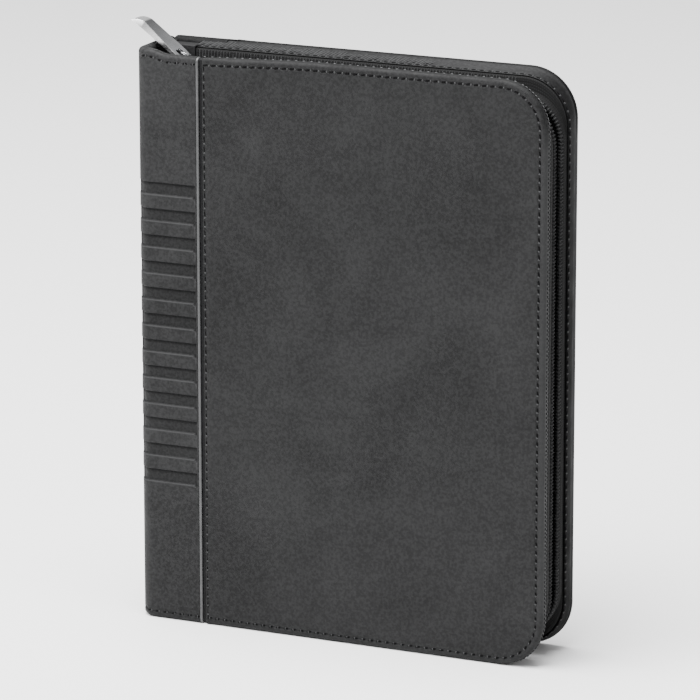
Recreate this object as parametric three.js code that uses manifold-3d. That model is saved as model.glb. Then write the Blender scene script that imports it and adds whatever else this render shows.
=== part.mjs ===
// A zip-round organizer clutch with a six-ring mechanism, standing upright on its lower edge.
// Millimetres. +X runs from the spine to the fore-edge, -Y faces the front, +Z is up.
// Inside this file x is 0 at the spine, y is 0 on the back face and z is 0 on the lower edge.
// The exported group moves the origin to the middle of the back cover's outer face.
import * as THREE from 'three';
import { mergeVertices } from 'three/addons/utils/BufferGeometryUtils.js';
import Module from 'manifold-3d';

const wasm = await Module();
wasm.setup();

// The closed case
const caseHeight = 240;
const caseWidth = 180;
const caseDepth = 34;
const foreCornerRadius = 20;
const spineCornerRadius = 6;
const edgeRollRadius = 1.8;

// Layers of each cover, and the clearance between pieces that rest on each other
const skinThickness = 1.5;
const boardThickness = 1.9;
const liningThickness = 0.8;
const seat = 0.3;

// The spine wrap, its debossed bars and the seam beside it
const wrapReach = 28;
const seamStripWidth = 1.4;
const seamStripThickness = 1.2;
const seamGrooveWidth = 1.5;
const barCount = 12;
const barPitch = 11.2;
const barHeight = 5.2;
const barDepth = 0.8;
const barEndInset = 0.9;
const barEndChamfer = 1.1;

// The zip: edge margin, tapes and coils, set in from the outline at the ends and at the fore-edge.
// The coils hang lower than the margin along the two ends, and rise to it round the corners.
const marginRecessEnds = 2;
const marginRecessFore = 0.2;
const marginThickness = 0.7;
const tapeBoardGap = 0.8;
const tapeThickness = 0.7;
const frontTapeWidth = 4.8;
const coilSize = 2.2;
const coilBevel = 0.5;
const zipSag = 5.65;
const zipGap = 5;
const backZipStart = 5.5;
const frontZipStart = 22.5;
const bottomZipStart = 18.5;
const endTabLength = 11;
const endTabThickness = 0.8;
const stopLength = 2.4;
const stopSize = 2.8;

// The slider and its puller
const sliderLength = 12;
const sliderRestGap = 4;
const sliderTabGap = 1.8;
const sliderNose = 2.6;
const sliderPlate = 1;
const sliderWall = 1;
const sliderPost = 3.2;
const sliderPostLength = 5.5;
const bridgeWidth = 2.4;
const bridgeThickness = 0.9;
const pullerTipWidth = 6.8;
const pullerEyeWidth = 9.8;
const pullerReach = 26.4;
const pullerCrease = 21;
const pullerBarDepth = 1.4;
const pullerThickness = 2.7;
const pullerTipDrop = 2.1;
const pullerTipCurve = 3.6;
const pullerTipCrown = 0.7;
const eyeWidth = 5;
const eyeLength = 3.4;
const pullerRestAngle = 37.3;

// The six-ring mechanism on the spine
const mechanismHalfWidth = 9;
const mechanismRise = 6.1;
const plateThickness = 0.9;
const ringRadius = 7.8;
const ringWire = 2.4;
const ringOffsets = [35, 54, 73];
const ringCentreRise = 8;
const ringFoot = 4.9;
const railRise = 1.3;
const railThickness = 0.9;
const railEndInset = 3.5;
const railHinge = 6.2;
const rivetInset = 12;
const rivetRadius = 1.5;
const rivetHeadRadius = 3.1;
const rivetHeadRise = 1.2;
const rivetDomeSteps = 3;
const leverWidth = 9;
const leverThickness = 1.2;
const leverReach = 9.5;
const leverRise = 4.4;
const leverBend = 3;
const leverFlat = 1;
const leverLip = 0.6;
const leverToeGap = 0.7;
const leverSliderGap = 1;

// Pockets and the pen loop
const pocketThickness = 0.8;
const pocketMargin = 8;
const pocketTapeGap = 2;
const slipPocketGap = 9;
const padPocketHeight = 160;
const padPocketSlant = 46;
const thumbRadius = 11;
const cardWidth = 94;
const cardRows = 3;
const cardStep = 14;
const cardTuck = 7;
const cardPocketHeight = 52;
const cardTopInset = 26;
const cardSideInset = 17;
const penLoopWidth = 12;
const penLoopDepth = 10;
const penLoopLength = 24;
const penLoopWall = 0.9;
const penLoopInset = 12;

// Sizes that follow from the ones above
const toMicron = (length) => Math.round(length * 1000) / 1000;
const coverThickness = skinThickness + seat + boardThickness + seat + liningThickness;
const middle = -caseDepth / 2;
const innerFace = coverThickness + seat;
const skinStart = wrapReach + seat + seamStripWidth + seamGrooveWidth;
const tapeRecessEnds = marginRecessEnds + marginThickness + seat;
const tapeRecessFore = marginRecessFore + marginThickness + seat;
const sagRecessEnds = tapeRecessEnds + zipSag;
const frontTapeEdge = -caseDepth + innerFace + frontTapeWidth;
const frontCoilEdge = frontTapeEdge + seat + coilSize;
const backCoilEdge = frontCoilEdge + zipGap;
const backTapeEdge = backCoilEdge + coilSize + seat;
const zipMiddle = (frontCoilEdge + backCoilEdge) / 2;
const coilLevel = caseHeight - sagRecessEnds - tapeThickness / 2;
const channelHalf = zipGap / 2 + coilSize + seat;
const sliderHalf = channelHalf + sliderWall;
const tabFace = zipMiddle + sliderHalf + sliderTabGap;
const marginEdge = toMicron(tabFace + endTabThickness + seat + tapeThickness);
const tapeEdge = toMicron(-innerFace - tapeBoardGap);
const arcSteps = 7;
const past = 10;

const finishes = {
  leatherette: { color: 0x3f4043, roughness: 0.62, metalness: 0 },
  strip: { color: 0x8a8c90, roughness: 0.5, metalness: 0 },
  board: { color: 0x7d7468, roughness: 0.9, metalness: 0 },
  lining: { color: 0x1c1c1f, roughness: 0.85, metalness: 0 },
  tape: { color: 0x2a2b2e, roughness: 0.9, metalness: 0 },
  coil: { color: 0x55575b, roughness: 0.45, metalness: 0 },
  chrome: { color: 0xc4c7ca, roughness: 0.25, metalness: 1 },
  steel: { color: 0xa9acb0, roughness: 0.35, metalness: 1 },
  elastic: { color: 0x222225, roughness: 0.9, metalness: 0 },
};

const organizer = new THREE.Group();
organizer.position.set(-caseWidth / 2, 0, -caseHeight / 2);

function addPiece(name, shape, finish) {
  const geometry = shape.isBufferGeometry ? shape : toGeometry(shape);
  const mesh = new THREE.Mesh(geometry, new THREE.MeshStandardMaterial(finishes[finish]));
  mesh.name = name;
  organizer.add(mesh);
  return mesh;
}

// Between three.js geometry and the boolean library

function toSolid(geometry) {
  const plain = geometry.clone();
  plain.deleteAttribute('normal');
  plain.deleteAttribute('uv');
  const merged = mergeVertices(plain, 1e-5);
  return new wasm.Manifold(new wasm.Mesh({
    numProp: 3,
    vertProperties: new Float32Array(merged.attributes.position.array),
    triVerts: new Uint32Array(merged.index.array),
  }));
}

function toGeometry(solid) {
  const mesh = solid.getMesh();
  const geometry = new THREE.BufferGeometry();
  const places = new Float32Array(mesh.vertProperties);
  geometry.setAttribute('position', new THREE.BufferAttribute(places, 3));
  geometry.setIndex(new THREE.BufferAttribute(new Uint32Array(mesh.triVerts), 1));
  geometry.computeVertexNormals();
  return geometry;
}

// Extrusions along each axis; a shape's first coordinate comes before its second one in x, y, z

function alongZ(shape, low, high) {
  const geometry = new THREE.ExtrudeGeometry(shape, {
    depth: high - low,
    bevelEnabled: false,
    curveSegments: arcSteps,
  });
  geometry.translate(0, 0, low);
  return geometry;
}

function alongY(shape, low, high, roll = 0, rollSteps = 3) {
  const geometry = new THREE.ExtrudeGeometry(shape, {
    depth: high - low - 2 * roll,
    bevelEnabled: roll > 0,
    bevelThickness: roll,
    bevelSize: roll,
    bevelOffset: -roll,
    bevelSegments: rollSteps,
    curveSegments: arcSteps,
  });
  geometry.rotateX(Math.PI / 2);
  geometry.translate(0, high - roll, 0);
  return geometry;
}

function alongX(shape, low, high, roll = 0, rollSteps = 3) {
  const geometry = new THREE.ExtrudeGeometry(shape, {
    depth: high - low - 2 * roll,
    bevelEnabled: roll > 0,
    bevelThickness: roll,
    bevelSize: roll,
    bevelOffset: -roll,
    bevelSegments: rollSteps,
    curveSegments: arcSteps,
  });
  geometry.rotateX(Math.PI / 2);
  geometry.rotateZ(Math.PI / 2);
  geometry.translate(low + roll, 0, 0);
  return geometry;
}

function block(lowX, highX, lowY, highY, lowZ, highZ) {
  const geometry = new THREE.BoxGeometry(highX - lowX, highY - lowY, highZ - lowZ);
  geometry.translate((lowX + highX) / 2, (lowY + highY) / 2, (lowZ + highZ) / 2);
  return geometry;
}

function blockSolid(...sides) {
  return toSolid(block(...sides));
}

function polygon(points) {
  return new THREE.Shape(points.map(([a, b]) => new THREE.Vector2(a, b)));
}

// A round bar along X, from one x to another

function pinAlongX(radius, lowX, highX, y, z, steps = 16) {
  const geometry = new THREE.CylinderGeometry(radius, radius, highX - lowX, steps);
  geometry.rotateZ(Math.PI / 2);
  geometry.translate((lowX + highX) / 2, y, z);
  return geometry;
}

// Outlines in the X-Z plane

// A cover's outline, round at the two fore-edge corners, set in by inset
function coverOutline(startX, inset) {
  const radius = foreCornerRadius - inset;
  const centreX = caseWidth - foreCornerRadius;
  const shape = new THREE.Shape();
  shape.moveTo(startX, inset);
  shape.lineTo(centreX, inset);
  shape.absarc(centreX, foreCornerRadius, radius, -Math.PI / 2, 0, false);
  shape.lineTo(caseWidth - inset, caseHeight - foreCornerRadius);
  shape.absarc(centreX, caseHeight - foreCornerRadius, radius, 0, Math.PI / 2, false);
  shape.lineTo(startX, caseHeight - inset);
  return shape;
}

// A band round three sides, from topStart along the top edge to bottomStart along the lower edge.
// It hangs by sag more than its thickness at the two ends, and is just as thick as that at the side.
function bandOutline(topStart, bottomStart, insetEnds, insetFore, thickness, sag = 0) {
  const radius = foreCornerRadius - insetFore;
  const inner = radius - thickness;
  const centreX = caseWidth - foreCornerRadius;
  const right = caseWidth - insetFore;
  const innerEnds = insetEnds + sag;
  const shape = new THREE.Shape();
  shape.moveTo(topStart, caseHeight - insetEnds);
  shape.lineTo(centreX, caseHeight - insetEnds);
  shape.absarc(centreX, caseHeight - insetEnds - radius, radius, Math.PI / 2, 0, true);
  shape.lineTo(right, insetEnds + radius);
  shape.absarc(centreX, insetEnds + radius, radius, 0, -Math.PI / 2, true);
  shape.lineTo(bottomStart, insetEnds);
  shape.lineTo(bottomStart, innerEnds + thickness);
  shape.lineTo(centreX, innerEnds + thickness);
  shape.absarc(centreX, innerEnds + radius, inner, -Math.PI / 2, 0, false);
  shape.lineTo(right - thickness, caseHeight - innerEnds - radius);
  shape.absarc(centreX, caseHeight - innerEnds - radius, inner, 0, Math.PI / 2, false);
  shape.lineTo(topStart, caseHeight - innerEnds - thickness);
  return shape;
}

// The case seen from above, open towards the fore-edge, set in by inset
function planOutline(inset) {
  const radius = spineCornerRadius - inset;
  const shape = new THREE.Shape();
  shape.moveTo(caseWidth + past, -caseDepth + inset);
  shape.lineTo(caseWidth + past, -inset);
  shape.lineTo(spineCornerRadius, -inset);
  shape.absarc(spineCornerRadius, -spineCornerRadius, radius, Math.PI / 2, Math.PI, false);
  shape.lineTo(inset, -caseDepth + spineCornerRadius);
  shape.absarc(spineCornerRadius, -caseDepth + spineCornerRadius, radius, Math.PI, 1.5 * Math.PI, false);
  return shape;
}

// Covers: leatherette skins with rolled edges, boards and linings

// y of a point at a depth below the outer face of the front or the back cover
function inFrom(side, depth) {
  return side === 'front' ? -caseDepth + depth : -depth;
}

function slab(side, shape, outer, inner, roll = 0) {
  const ends = [inFrom(side, outer), inFrom(side, inner)];
  return alongY(shape, Math.min(...ends), Math.max(...ends), roll);
}

function coverEnvelope(side) {
  return toSolid(slab(side, coverOutline(-past, 0), 0, coverThickness, edgeRollRadius));
}

function coverHollow(side) {
  return toSolid(slab(side, coverOutline(-past, skinThickness), skinThickness, coverThickness + past));
}

function coverSkin(side) {
  const room = blockSolid(skinStart, caseWidth + past, -caseDepth - past, past, -past, caseHeight + past);
  return coverEnvelope(side).intersect(room).subtract(coverHollow(side));
}

function coverBoard(side) {
  const outer = skinThickness + seat;
  return slab(side, coverOutline(innerFace, outer), outer, outer + boardThickness);
}

function coverLining(side) {
  const outer = skinThickness + seat + boardThickness + seat;
  return slab(side, coverOutline(innerFace, skinThickness + seat), outer, outer + liningThickness);
}

// The spine wrap is one sheet over the spine and both covers, parted at the two fold lines

function wholeWrap() {
  const outside = toSolid(alongZ(planOutline(0), -past, caseHeight + past));
  const turned = toSolid(alongZ(planOutline(skinThickness), skinThickness, caseHeight - skinThickness));
  const inside = blockSolid(coverThickness, caseWidth + 2 * past,
    -caseDepth + coverThickness, -coverThickness, -2 * past, caseHeight + 2 * past);
  let wrap = outside.subtract(turned).subtract(inside);
  wrap = wrap.subtract(barCutters());
  return wrap;
}

// The debossed bars run round the wrap, each with its lower end corner cut off
function barCutters() {
  const endX = wrapReach - barEndInset;
  const band = toSolid(alongZ(planOutline(-past), 0, barHeight));
  const core = toSolid(alongZ(planOutline(barDepth), -past, barHeight + past));
  const ends = toSolid(alongY(polygon([
    [-2 * past, 0],
    [endX - barEndChamfer, 0],
    [endX, barEndChamfer],
    [endX, barHeight],
    [-2 * past, barHeight],
  ]), -caseDepth - 2 * past, 2 * past));
  const bar = band.subtract(core).intersect(ends);
  const span = (barCount - 1) * barPitch + barHeight;
  const bars = [];
  for (let i = 0; i < barCount; i += 1) {
    bars.push(bar.translate([0, 0, (caseHeight - span) / 2 + i * barPitch]));
  }
  return wasm.Manifold.union(bars);
}

// The two fold lines are mitres through the outer corners of the spine
const mitre = seat / Math.SQRT2;
const mitreReach = coverThickness + 1;

function foldRegion(side) {
  const outward = side === 'front' ? -1 : 1;
  const face = side === 'front' ? -caseDepth : 0;
  const corners = [
    [mitre - 1, face + outward],
    [wrapReach, face + outward],
    [wrapReach, face - outward * mitreReach],
    [mitreReach + mitre, face - outward * mitreReach],
  ];
  return toSolid(alongZ(polygon(side === 'front' ? corners : corners.reverse()), -past, caseHeight + past));
}

function spineRegion() {
  return toSolid(alongZ(polygon([
    [-1, -caseDepth - 1 + mitre],
    [mitreReach, -caseDepth + mitreReach + mitre],
    [mitreReach, -mitreReach - mitre],
    [-1, 1 - mitre],
  ]), -past, caseHeight + past));
}

function spineEnvelope() {
  const wall = polygon([
    [-caseDepth - past, 0],
    [past, 0],
    [past, caseHeight],
    [-caseDepth - past, caseHeight],
  ]);
  return toSolid(alongX(wall, 0, coverThickness, edgeRollRadius));
}

function seamStrip(side) {
  const low = edgeRollRadius;
  const strip = polygon([
    [wrapReach + seat, low],
    [wrapReach + seat + seamStripWidth, low],
    [wrapReach + seat + seamStripWidth, caseHeight - low],
    [wrapReach + seat, caseHeight - low],
  ]);
  const inner = skinThickness;
  return slab(side, strip, inner - seamStripThickness, inner);
}

function makeCovers() {
  const wrap = wholeWrap();
  for (const side of ['back', 'front']) {
    addPiece(`${side}_cover_skin`, coverSkin(side), 'leatherette');
    addPiece(`${side}_cover_board`, coverBoard(side), 'board');
    addPiece(`${side}_cover_lining`, coverLining(side), 'lining');
    addPiece(`${side}_seam_strip`, seamStrip(side), 'strip');
    const part = wrap.intersect(coverEnvelope(side)).intersect(foldRegion(side));
    addPiece(`${side}_spine_wrap`, part, 'leatherette');
  }
  addPiece('spine_skin', wrap.intersect(spineEnvelope()).intersect(spineRegion()), 'leatherette');
}

// The spine's board and lining, with the holes for the two rivets

function rivetPlaces() {
  const low = mechanismEndGap + rivetInset;
  return [low, caseHeight - low];
}

function spineSheet(outer, thickness) {
  const inset = skinThickness + seat;
  let sheet = blockSolid(outer, outer + thickness, -caseDepth + innerFace, -innerFace,
    inset, caseHeight - inset);
  for (const z of rivetPlaces()) {
    sheet = sheet.subtract(toSolid(pinAlongX(rivetRadius + seat, -past, past, middle, z)));
  }
  return sheet;
}

function makeSpineLayers() {
  const boardStart = skinThickness + seat;
  const liningStart = boardStart + boardThickness + seat;
  addPiece('spine_board', spineSheet(boardStart, boardThickness), 'board');
  addPiece('spine_lining', spineSheet(liningStart, liningThickness), 'lining');
}

// The zip round three sides

function makeZip() {
  const tabEnd = backZipStart + endTabLength;
  const marginStart = tabEnd + seat;
  addPiece('back_edge_margin', alongY(
    bandOutline(marginStart, marginStart, marginRecessEnds, marginRecessFore, marginThickness),
    marginEdge, -innerFace), 'leatherette');
  addPiece('back_zip_tape', backTape(), 'tape');
  addPiece('front_zip_tape', alongY(
    bandOutline(frontZipStart, bottomZipStart, sagRecessEnds, tapeRecessFore, tapeThickness),
    -caseDepth + innerFace, frontTapeEdge), 'tape');
  const proud = (coilSize - tapeThickness) / 2;
  const coilBottomStart = bottomZipStart + stopLength + seat;
  addPiece('back_zip_coil', alongY(
    bandOutline(backZipStart, coilBottomStart, sagRecessEnds - proud, tapeRecessFore - proud, coilSize),
    backCoilEdge, backCoilEdge + coilSize, coilBevel, 1), 'coil');
  addPiece('front_zip_coil', alongY(
    bandOutline(frontZipStart + stopLength + seat, coilBottomStart,
      sagRecessEnds - proud, tapeRecessFore - proud, coilSize),
    frontCoilEdge - coilSize, frontCoilEdge, coilBevel, 1), 'coil');
  makeEndTabs();
  makeStops();
}

// The back tape lies under the margin, turns down at its edge and turns out again to the coil
function backTape() {
  const fold = marginEdge - tapeThickness;
  const band = (insetEnds, sag, low, high) => toSolid(alongY(
    bandOutline(backZipStart, bottomZipStart, insetEnds, tapeRecessFore, tapeThickness, sag), low, high));
  return band(tapeRecessEnds, 0, fold, tapeEdge)
    .add(band(tapeRecessEnds, zipSag, fold, marginEdge))
    .add(band(sagRecessEnds, 0, backTapeEdge, marginEdge));
}

// Leather tabs that cover the ends of the back tape beside the spine, turned down over its fold
function makeEndTabs() {
  const under = marginRecessEnds + marginThickness;
  const foot = sagRecessEnds - seat;
  const face = marginEdge - tapeThickness - seat - endTabThickness;
  const end = backZipStart + endTabLength;
  const flat = blockSolid(backZipStart, end, face, -innerFace, under - endTabThickness, under);
  const apron = blockSolid(backZipStart, end, face, face + endTabThickness, under - endTabThickness, foot);
  const tab = flat.add(apron);
  addPiece('lower_zip_end_tab', tab, 'leatherette');
  addPiece('upper_zip_end_tab', tab.mirror([0, 0, 1]).translate([0, 0, caseHeight]), 'leatherette');
}

// Crimped metal stops at the ends of the coils
function makeStops() {
  const low = caseHeight - coilLevel;
  const half = stopSize / 2;
  const stop = (name, x, edge, level) => addPiece(name, block(x, x + stopLength,
    edge, edge + coilSize, level - half, level + half), 'steel');
  stop('front_top_stop', frontZipStart, frontCoilEdge - coilSize, coilLevel);
  stop('front_bottom_stop', bottomZipStart, frontCoilEdge - coilSize, low);
  stop('back_bottom_stop', bottomZipStart, backCoilEdge, low);
}

// The slider: two plates joined by a post between the coils, with lips and a bridge

const sliderStart = backZipStart + sliderRestGap;
const sliderMiddle = sliderStart + sliderLength / 2;
const channelRise = coilSize / 2 + seat;
const lipGap = tapeThickness / 2 + seat;
const plateTop = coilLevel + channelRise + sliderPlate;
const plateBottom = coilLevel - channelRise - sliderPlate;
const pullerBarRadius = Math.hypot(pullerBarDepth, pullerBarDepth) / 2;
const pivotLevel = plateTop + seat + pullerBarRadius;
const bridgeInside = pivotLevel + pullerBarRadius + seat;

function sliderOutline() {
  const half = sliderHalf;
  const nose = sliderNose;
  const shape = new THREE.Shape();
  shape.moveTo(sliderStart + nose, zipMiddle - half);
  shape.lineTo(sliderStart + sliderLength - nose, zipMiddle - half);
  shape.quadraticCurveTo(sliderStart + sliderLength, zipMiddle - half,
    sliderStart + sliderLength, zipMiddle - half + nose);
  shape.quadraticCurveTo(sliderStart + sliderLength - nose, zipMiddle,
    sliderStart + sliderLength, zipMiddle + half - nose);
  shape.quadraticCurveTo(sliderStart + sliderLength, zipMiddle + half,
    sliderStart + sliderLength - nose, zipMiddle + half);
  shape.lineTo(sliderStart + nose, zipMiddle + half);
  shape.quadraticCurveTo(sliderStart, zipMiddle + half, sliderStart, zipMiddle + half - nose);
  shape.lineTo(sliderStart, zipMiddle - half + nose);
  shape.quadraticCurveTo(sliderStart, zipMiddle - half, sliderStart + nose, zipMiddle - half);
  return shape;
}

function sliderBody() {
  let body = toSolid(alongZ(sliderOutline(), plateBottom, plateTop));
  const channel = blockSolid(-past, caseWidth, zipMiddle - channelHalf, zipMiddle + channelHalf,
    coilLevel - channelRise, coilLevel + channelRise);
  const slit = blockSolid(-past, caseWidth, zipMiddle - 2 * past, zipMiddle + 2 * past,
    coilLevel - lipGap, coilLevel + lipGap);
  body = body.subtract(channel).subtract(slit);
  const post = toSolid(alongZ(postOutline(), plateBottom + sliderPlate / 2, plateTop - sliderPlate / 2));
  return body.add(post).add(bridge());
}

// A lens-shaped post parts the coils at the slider's nose
function postOutline() {
  const tail = sliderMiddle - sliderPostLength / 2;
  const nose = sliderMiddle + sliderPostLength / 2;
  const shape = new THREE.Shape();
  shape.moveTo(tail, zipMiddle);
  shape.quadraticCurveTo(sliderMiddle, zipMiddle - sliderPost, nose, zipMiddle);
  shape.quadraticCurveTo(sliderMiddle, zipMiddle + sliderPost, tail, zipMiddle);
  return shape;
}

function bridge() {
  const inside = pullerBarRadius + seat;
  const outside = inside + bridgeThickness;
  const low = plateTop - sliderPlate / 2;
  const arch = new THREE.Shape();
  arch.moveTo(sliderMiddle - outside, low);
  arch.lineTo(sliderMiddle - inside, low);
  arch.lineTo(sliderMiddle - inside, pivotLevel);
  arch.absarc(sliderMiddle, pivotLevel, inside, Math.PI, 0, true);
  arch.lineTo(sliderMiddle + inside, low);
  arch.lineTo(sliderMiddle + outside, low);
  arch.lineTo(sliderMiddle + outside, pivotLevel);
  arch.absarc(sliderMiddle, pivotLevel, outside, 0, Math.PI, false);
  return toSolid(alongY(arch, zipMiddle - bridgeWidth / 2, zipMiddle + bridgeWidth / 2));
}

// The puller's side view along its length, from the bar in the bridge to the bent tip.
// Its second coordinate points to the underside, which is straight as far as the tip.
function pullerOutline() {
  const half = pullerBarDepth / 2;
  const eyeMiddle = half + eyeLength / 2;
  const shape = new THREE.Shape();
  shape.moveTo(-half, -half);
  shape.lineTo(-half, half);
  shape.lineTo(eyeMiddle, half);
  shape.lineTo(pullerReach, pullerTipDrop);
  shape.quadraticCurveTo(pullerCrease + pullerTipCurve, -pullerTipCrown,
    pullerCrease, -pullerThickness / 2);
  shape.lineTo(eyeMiddle, -half);
  return shape;
}

// Seen from above the puller is widest at the eye and narrows towards the tip
function pullerPlan() {
  const wide = pullerEyeWidth / 2;
  const narrow = pullerTipWidth / 2;
  const eyeEnd = pullerBarDepth / 2 + eyeLength;
  return polygon([
    [-past, -wide],
    [eyeEnd, -wide],
    [pullerCrease, -narrow],
    [pullerReach + past, -narrow],
    [pullerReach + past, narrow],
    [pullerCrease, narrow],
    [eyeEnd, wide],
    [-past, wide],
  ]);
}

function pullerBody() {
  const half = pullerBarDepth / 2;
  const bar = toSolid(alongY(pullerOutline(), -pullerEyeWidth, pullerEyeWidth));
  const plan = toSolid(alongZ(pullerPlan(), -past, past));
  const eye = blockSolid(half, half + eyeLength, -eyeWidth / 2, eyeWidth / 2, -past, past);
  return toGeometry(bar.intersect(plan).subtract(eye));
}

function makeSlider() {
  addPiece('zip_slider', sliderBody(), 'chrome');
  const puller = addPiece('zip_puller', pullerBody(), 'chrome');
  puller.position.set(sliderMiddle, zipMiddle, pivotLevel);
  puller.rotation.y = THREE.MathUtils.degToRad(180 + pullerRestAngle);
}

// The six-ring mechanism

const mechanismFoot = coverThickness + seat;
const mechanismEndGap = caseHeight - plateBottom + leverSliderGap + leverReach + leverLip;
const mechanismHigh = caseHeight - mechanismEndGap;
const railLevel = mechanismFoot + railRise;
const ringCentre = mechanismFoot + ringCentreRise;

// An arched plate, seen along Z, between two radii about one centre
function archOutline(halfWidth, rise, thickness) {
  const radius = (halfWidth * halfWidth + rise * rise) / (2 * rise);
  const centre = mechanismFoot + rise - radius;
  const reach = Math.acos((mechanismFoot - centre) / radius);
  const innerReach = Math.acos((mechanismFoot - centre) / (radius - thickness));
  const shape = new THREE.Shape();
  shape.absarc(centre, middle, radius, -reach, reach, false);
  shape.absarc(centre, middle, radius - thickness, innerReach, -innerReach, true);
  return shape;
}

function ringPlaces() {
  const places = [];
  for (const offset of ringOffsets) {
    places.push(caseHeight / 2 - offset, caseHeight / 2 + offset);
  }
  return places.sort((a, b) => a - b);
}

function ringPlate() {
  let plate = toSolid(alongZ(archOutline(mechanismHalfWidth, mechanismRise, plateThickness),
    mechanismEndGap, mechanismHigh));
  const slot = ringWire / 2 + 2 * seat;
  const clear = ringFoot - slot;
  for (const z of ringPlaces()) {
    plate = plate.subtract(blockSolid(0, caseWidth, middle - 2 * past, middle - clear, z - slot, z + slot));
    plate = plate.subtract(blockSolid(0, caseWidth, middle + clear, middle + 2 * past, z - slot, z + slot));
  }
  for (const z of rivetPlaces()) {
    plate = plate.subtract(toSolid(pinAlongX(rivetRadius + seat, 0, 2 * past, middle, z)));
  }
  return plate;
}

// Two flat rails under the plate carry the half rings and turn about their outer edges
function ringRail(sign) {
  const edges = [middle + sign * seat, middle + sign * railHinge];
  let rail = blockSolid(railLevel, railLevel + railThickness, Math.min(...edges), Math.max(...edges),
    mechanismEndGap + railEndInset, mechanismHigh - railEndInset);
  for (const z of rivetPlaces()) {
    rail = rail.subtract(toSolid(pinAlongX(rivetRadius + 3 * seat, 0, 2 * past, middle, z)));
  }
  return rail;
}

// Half a ring, from below its foot on the rail to its tip on the middle line
class HalfRing extends THREE.Curve {
  constructor(sign, z) {
    super();
    this.sign = sign;
    this.z = z;
  }

  getPoint(t, target = new THREE.Vector3()) {
    const foot = Math.PI - Math.asin(ringFoot / ringRadius) + ringWire / 2 / ringRadius;
    const tip = seat / 2 / ringRadius;
    const angle = foot + (tip - foot) * t;
    return target.set(ringCentre + ringRadius * Math.cos(angle),
      middle + this.sign * ringRadius * Math.sin(angle), this.z);
  }
}

function wireSection(radius, sides) {
  const points = [];
  for (let i = 0; i < sides; i += 1) {
    const angle = (2 * Math.PI * (i + 0.5)) / sides;
    points.push(new THREE.Vector2(radius * Math.cos(angle), radius * Math.sin(angle)));
  }
  return new THREE.Shape(points);
}

function halfRing(sign, z) {
  const tube = toSolid(new THREE.ExtrudeGeometry(wireSection(ringWire / 2, 8), {
    steps: 14,
    extrudePath: new HalfRing(sign, z),
  }));
  const below = blockSolid(-past, railLevel + railThickness + seat,
    middle - 2 * past, middle + 2 * past, z - past, z + past);
  return tube.subtract(below);
}

// A domed rivet holds the plate to the spine board
function rivet(z) {
  const crown = mechanismFoot + mechanismRise + seat;
  const foot = skinThickness + seat;
  const profile = [
    new THREE.Vector2(0, foot),
    new THREE.Vector2(rivetRadius, foot),
    new THREE.Vector2(rivetRadius, crown),
  ];
  for (let i = 0; i < rivetDomeSteps; i += 1) {
    const angle = (Math.PI / 2) * (i / rivetDomeSteps);
    profile.push(new THREE.Vector2(rivetHeadRadius * Math.cos(angle),
      crown + rivetHeadRise * Math.sin(angle)));
  }
  profile.push(new THREE.Vector2(0, crown + rivetHeadRise));
  const geometry = new THREE.LatheGeometry(profile, 16);
  geometry.rotateZ(-Math.PI / 2);
  geometry.translate(0, middle, z);
  return toGeometry(toSolid(geometry));
}

// A lever at each end lifts the rails; it curves up out of the plate's end
function leverOutline() {
  const toe = leverToeGap - railEndInset;
  const upper = railLevel + leverThickness;
  const shape = new THREE.Shape();
  shape.moveTo(railLevel, toe);
  shape.lineTo(upper, toe);
  shape.lineTo(upper, leverFlat);
  shape.quadraticCurveTo(upper, leverReach - leverBend, upper + leverRise, leverReach);
  shape.lineTo(railLevel + leverRise, leverReach + leverLip);
  shape.quadraticCurveTo(railLevel, leverReach - leverBend, railLevel, leverFlat);
  return shape;
}

function lever() {
  return alongY(leverOutline(), -leverWidth / 2, leverWidth / 2);
}

function makeMechanism() {
  addPiece('ring_plate', ringPlate(), 'chrome');
  const halves = [['front', -1], ['back', 1]];
  for (const [side, sign] of halves) {
    addPiece(`${side}_ring_rail`, ringRail(sign), 'steel');
    ringPlaces().forEach((z, i) => {
      addPiece(`${side}_half_ring_${i + 1}`, halfRing(sign, z), 'chrome');
    });
  }
  const [lowRivet, highRivet] = rivetPlaces();
  addPiece('lower_rivet', rivet(lowRivet), 'chrome');
  addPiece('upper_rivet', rivet(highRivet), 'chrome');
  const upper = addPiece('upper_lever', lever(), 'chrome');
  upper.position.set(0, middle, mechanismHigh);
  const lower = addPiece('lower_lever', toGeometry(toSolid(lever()).mirror([0, 0, 1])), 'chrome');
  lower.position.set(0, middle, mechanismEndGap);
}

// Pockets and pen loop

// A pocket panel starts along its lower edge, round at the cover's corner
function pocketStart(left, right, bottom) {
  const radius = foreCornerRadius - pocketMargin;
  const shape = new THREE.Shape();
  shape.moveTo(left, bottom);
  shape.lineTo(right - radius, bottom);
  shape.absarc(right - radius, bottom + radius, radius, -Math.PI / 2, 0, false);
  return shape;
}

// The front pocket has a round thumb notch in its upper edge
function slipPocketOutline(left, right, bottom, top) {
  const centre = (left + right) / 2;
  const shape = pocketStart(left, right, bottom);
  shape.lineTo(right, top);
  shape.lineTo(centre + thumbRadius, top);
  shape.absarc(centre, top, thumbRadius, 0, -Math.PI, true);
  shape.lineTo(left, top);
  return shape;
}

// The back pocket's upper edge slants down towards the spine
function padPocketOutline(left, right, bottom, top) {
  const shape = pocketStart(left, right, bottom);
  shape.lineTo(right, top);
  shape.lineTo(left, top - padPocketSlant);
  return shape;
}

// Each card pocket is a step lower than the one behind it, and its lower edge is tucked up a little
function cardTop(row) {
  return caseHeight - cardTopInset - row * cardStep;
}

function cardBottom(row) {
  return cardTop(row) - cardPocketHeight + row * cardTuck;
}

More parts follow.
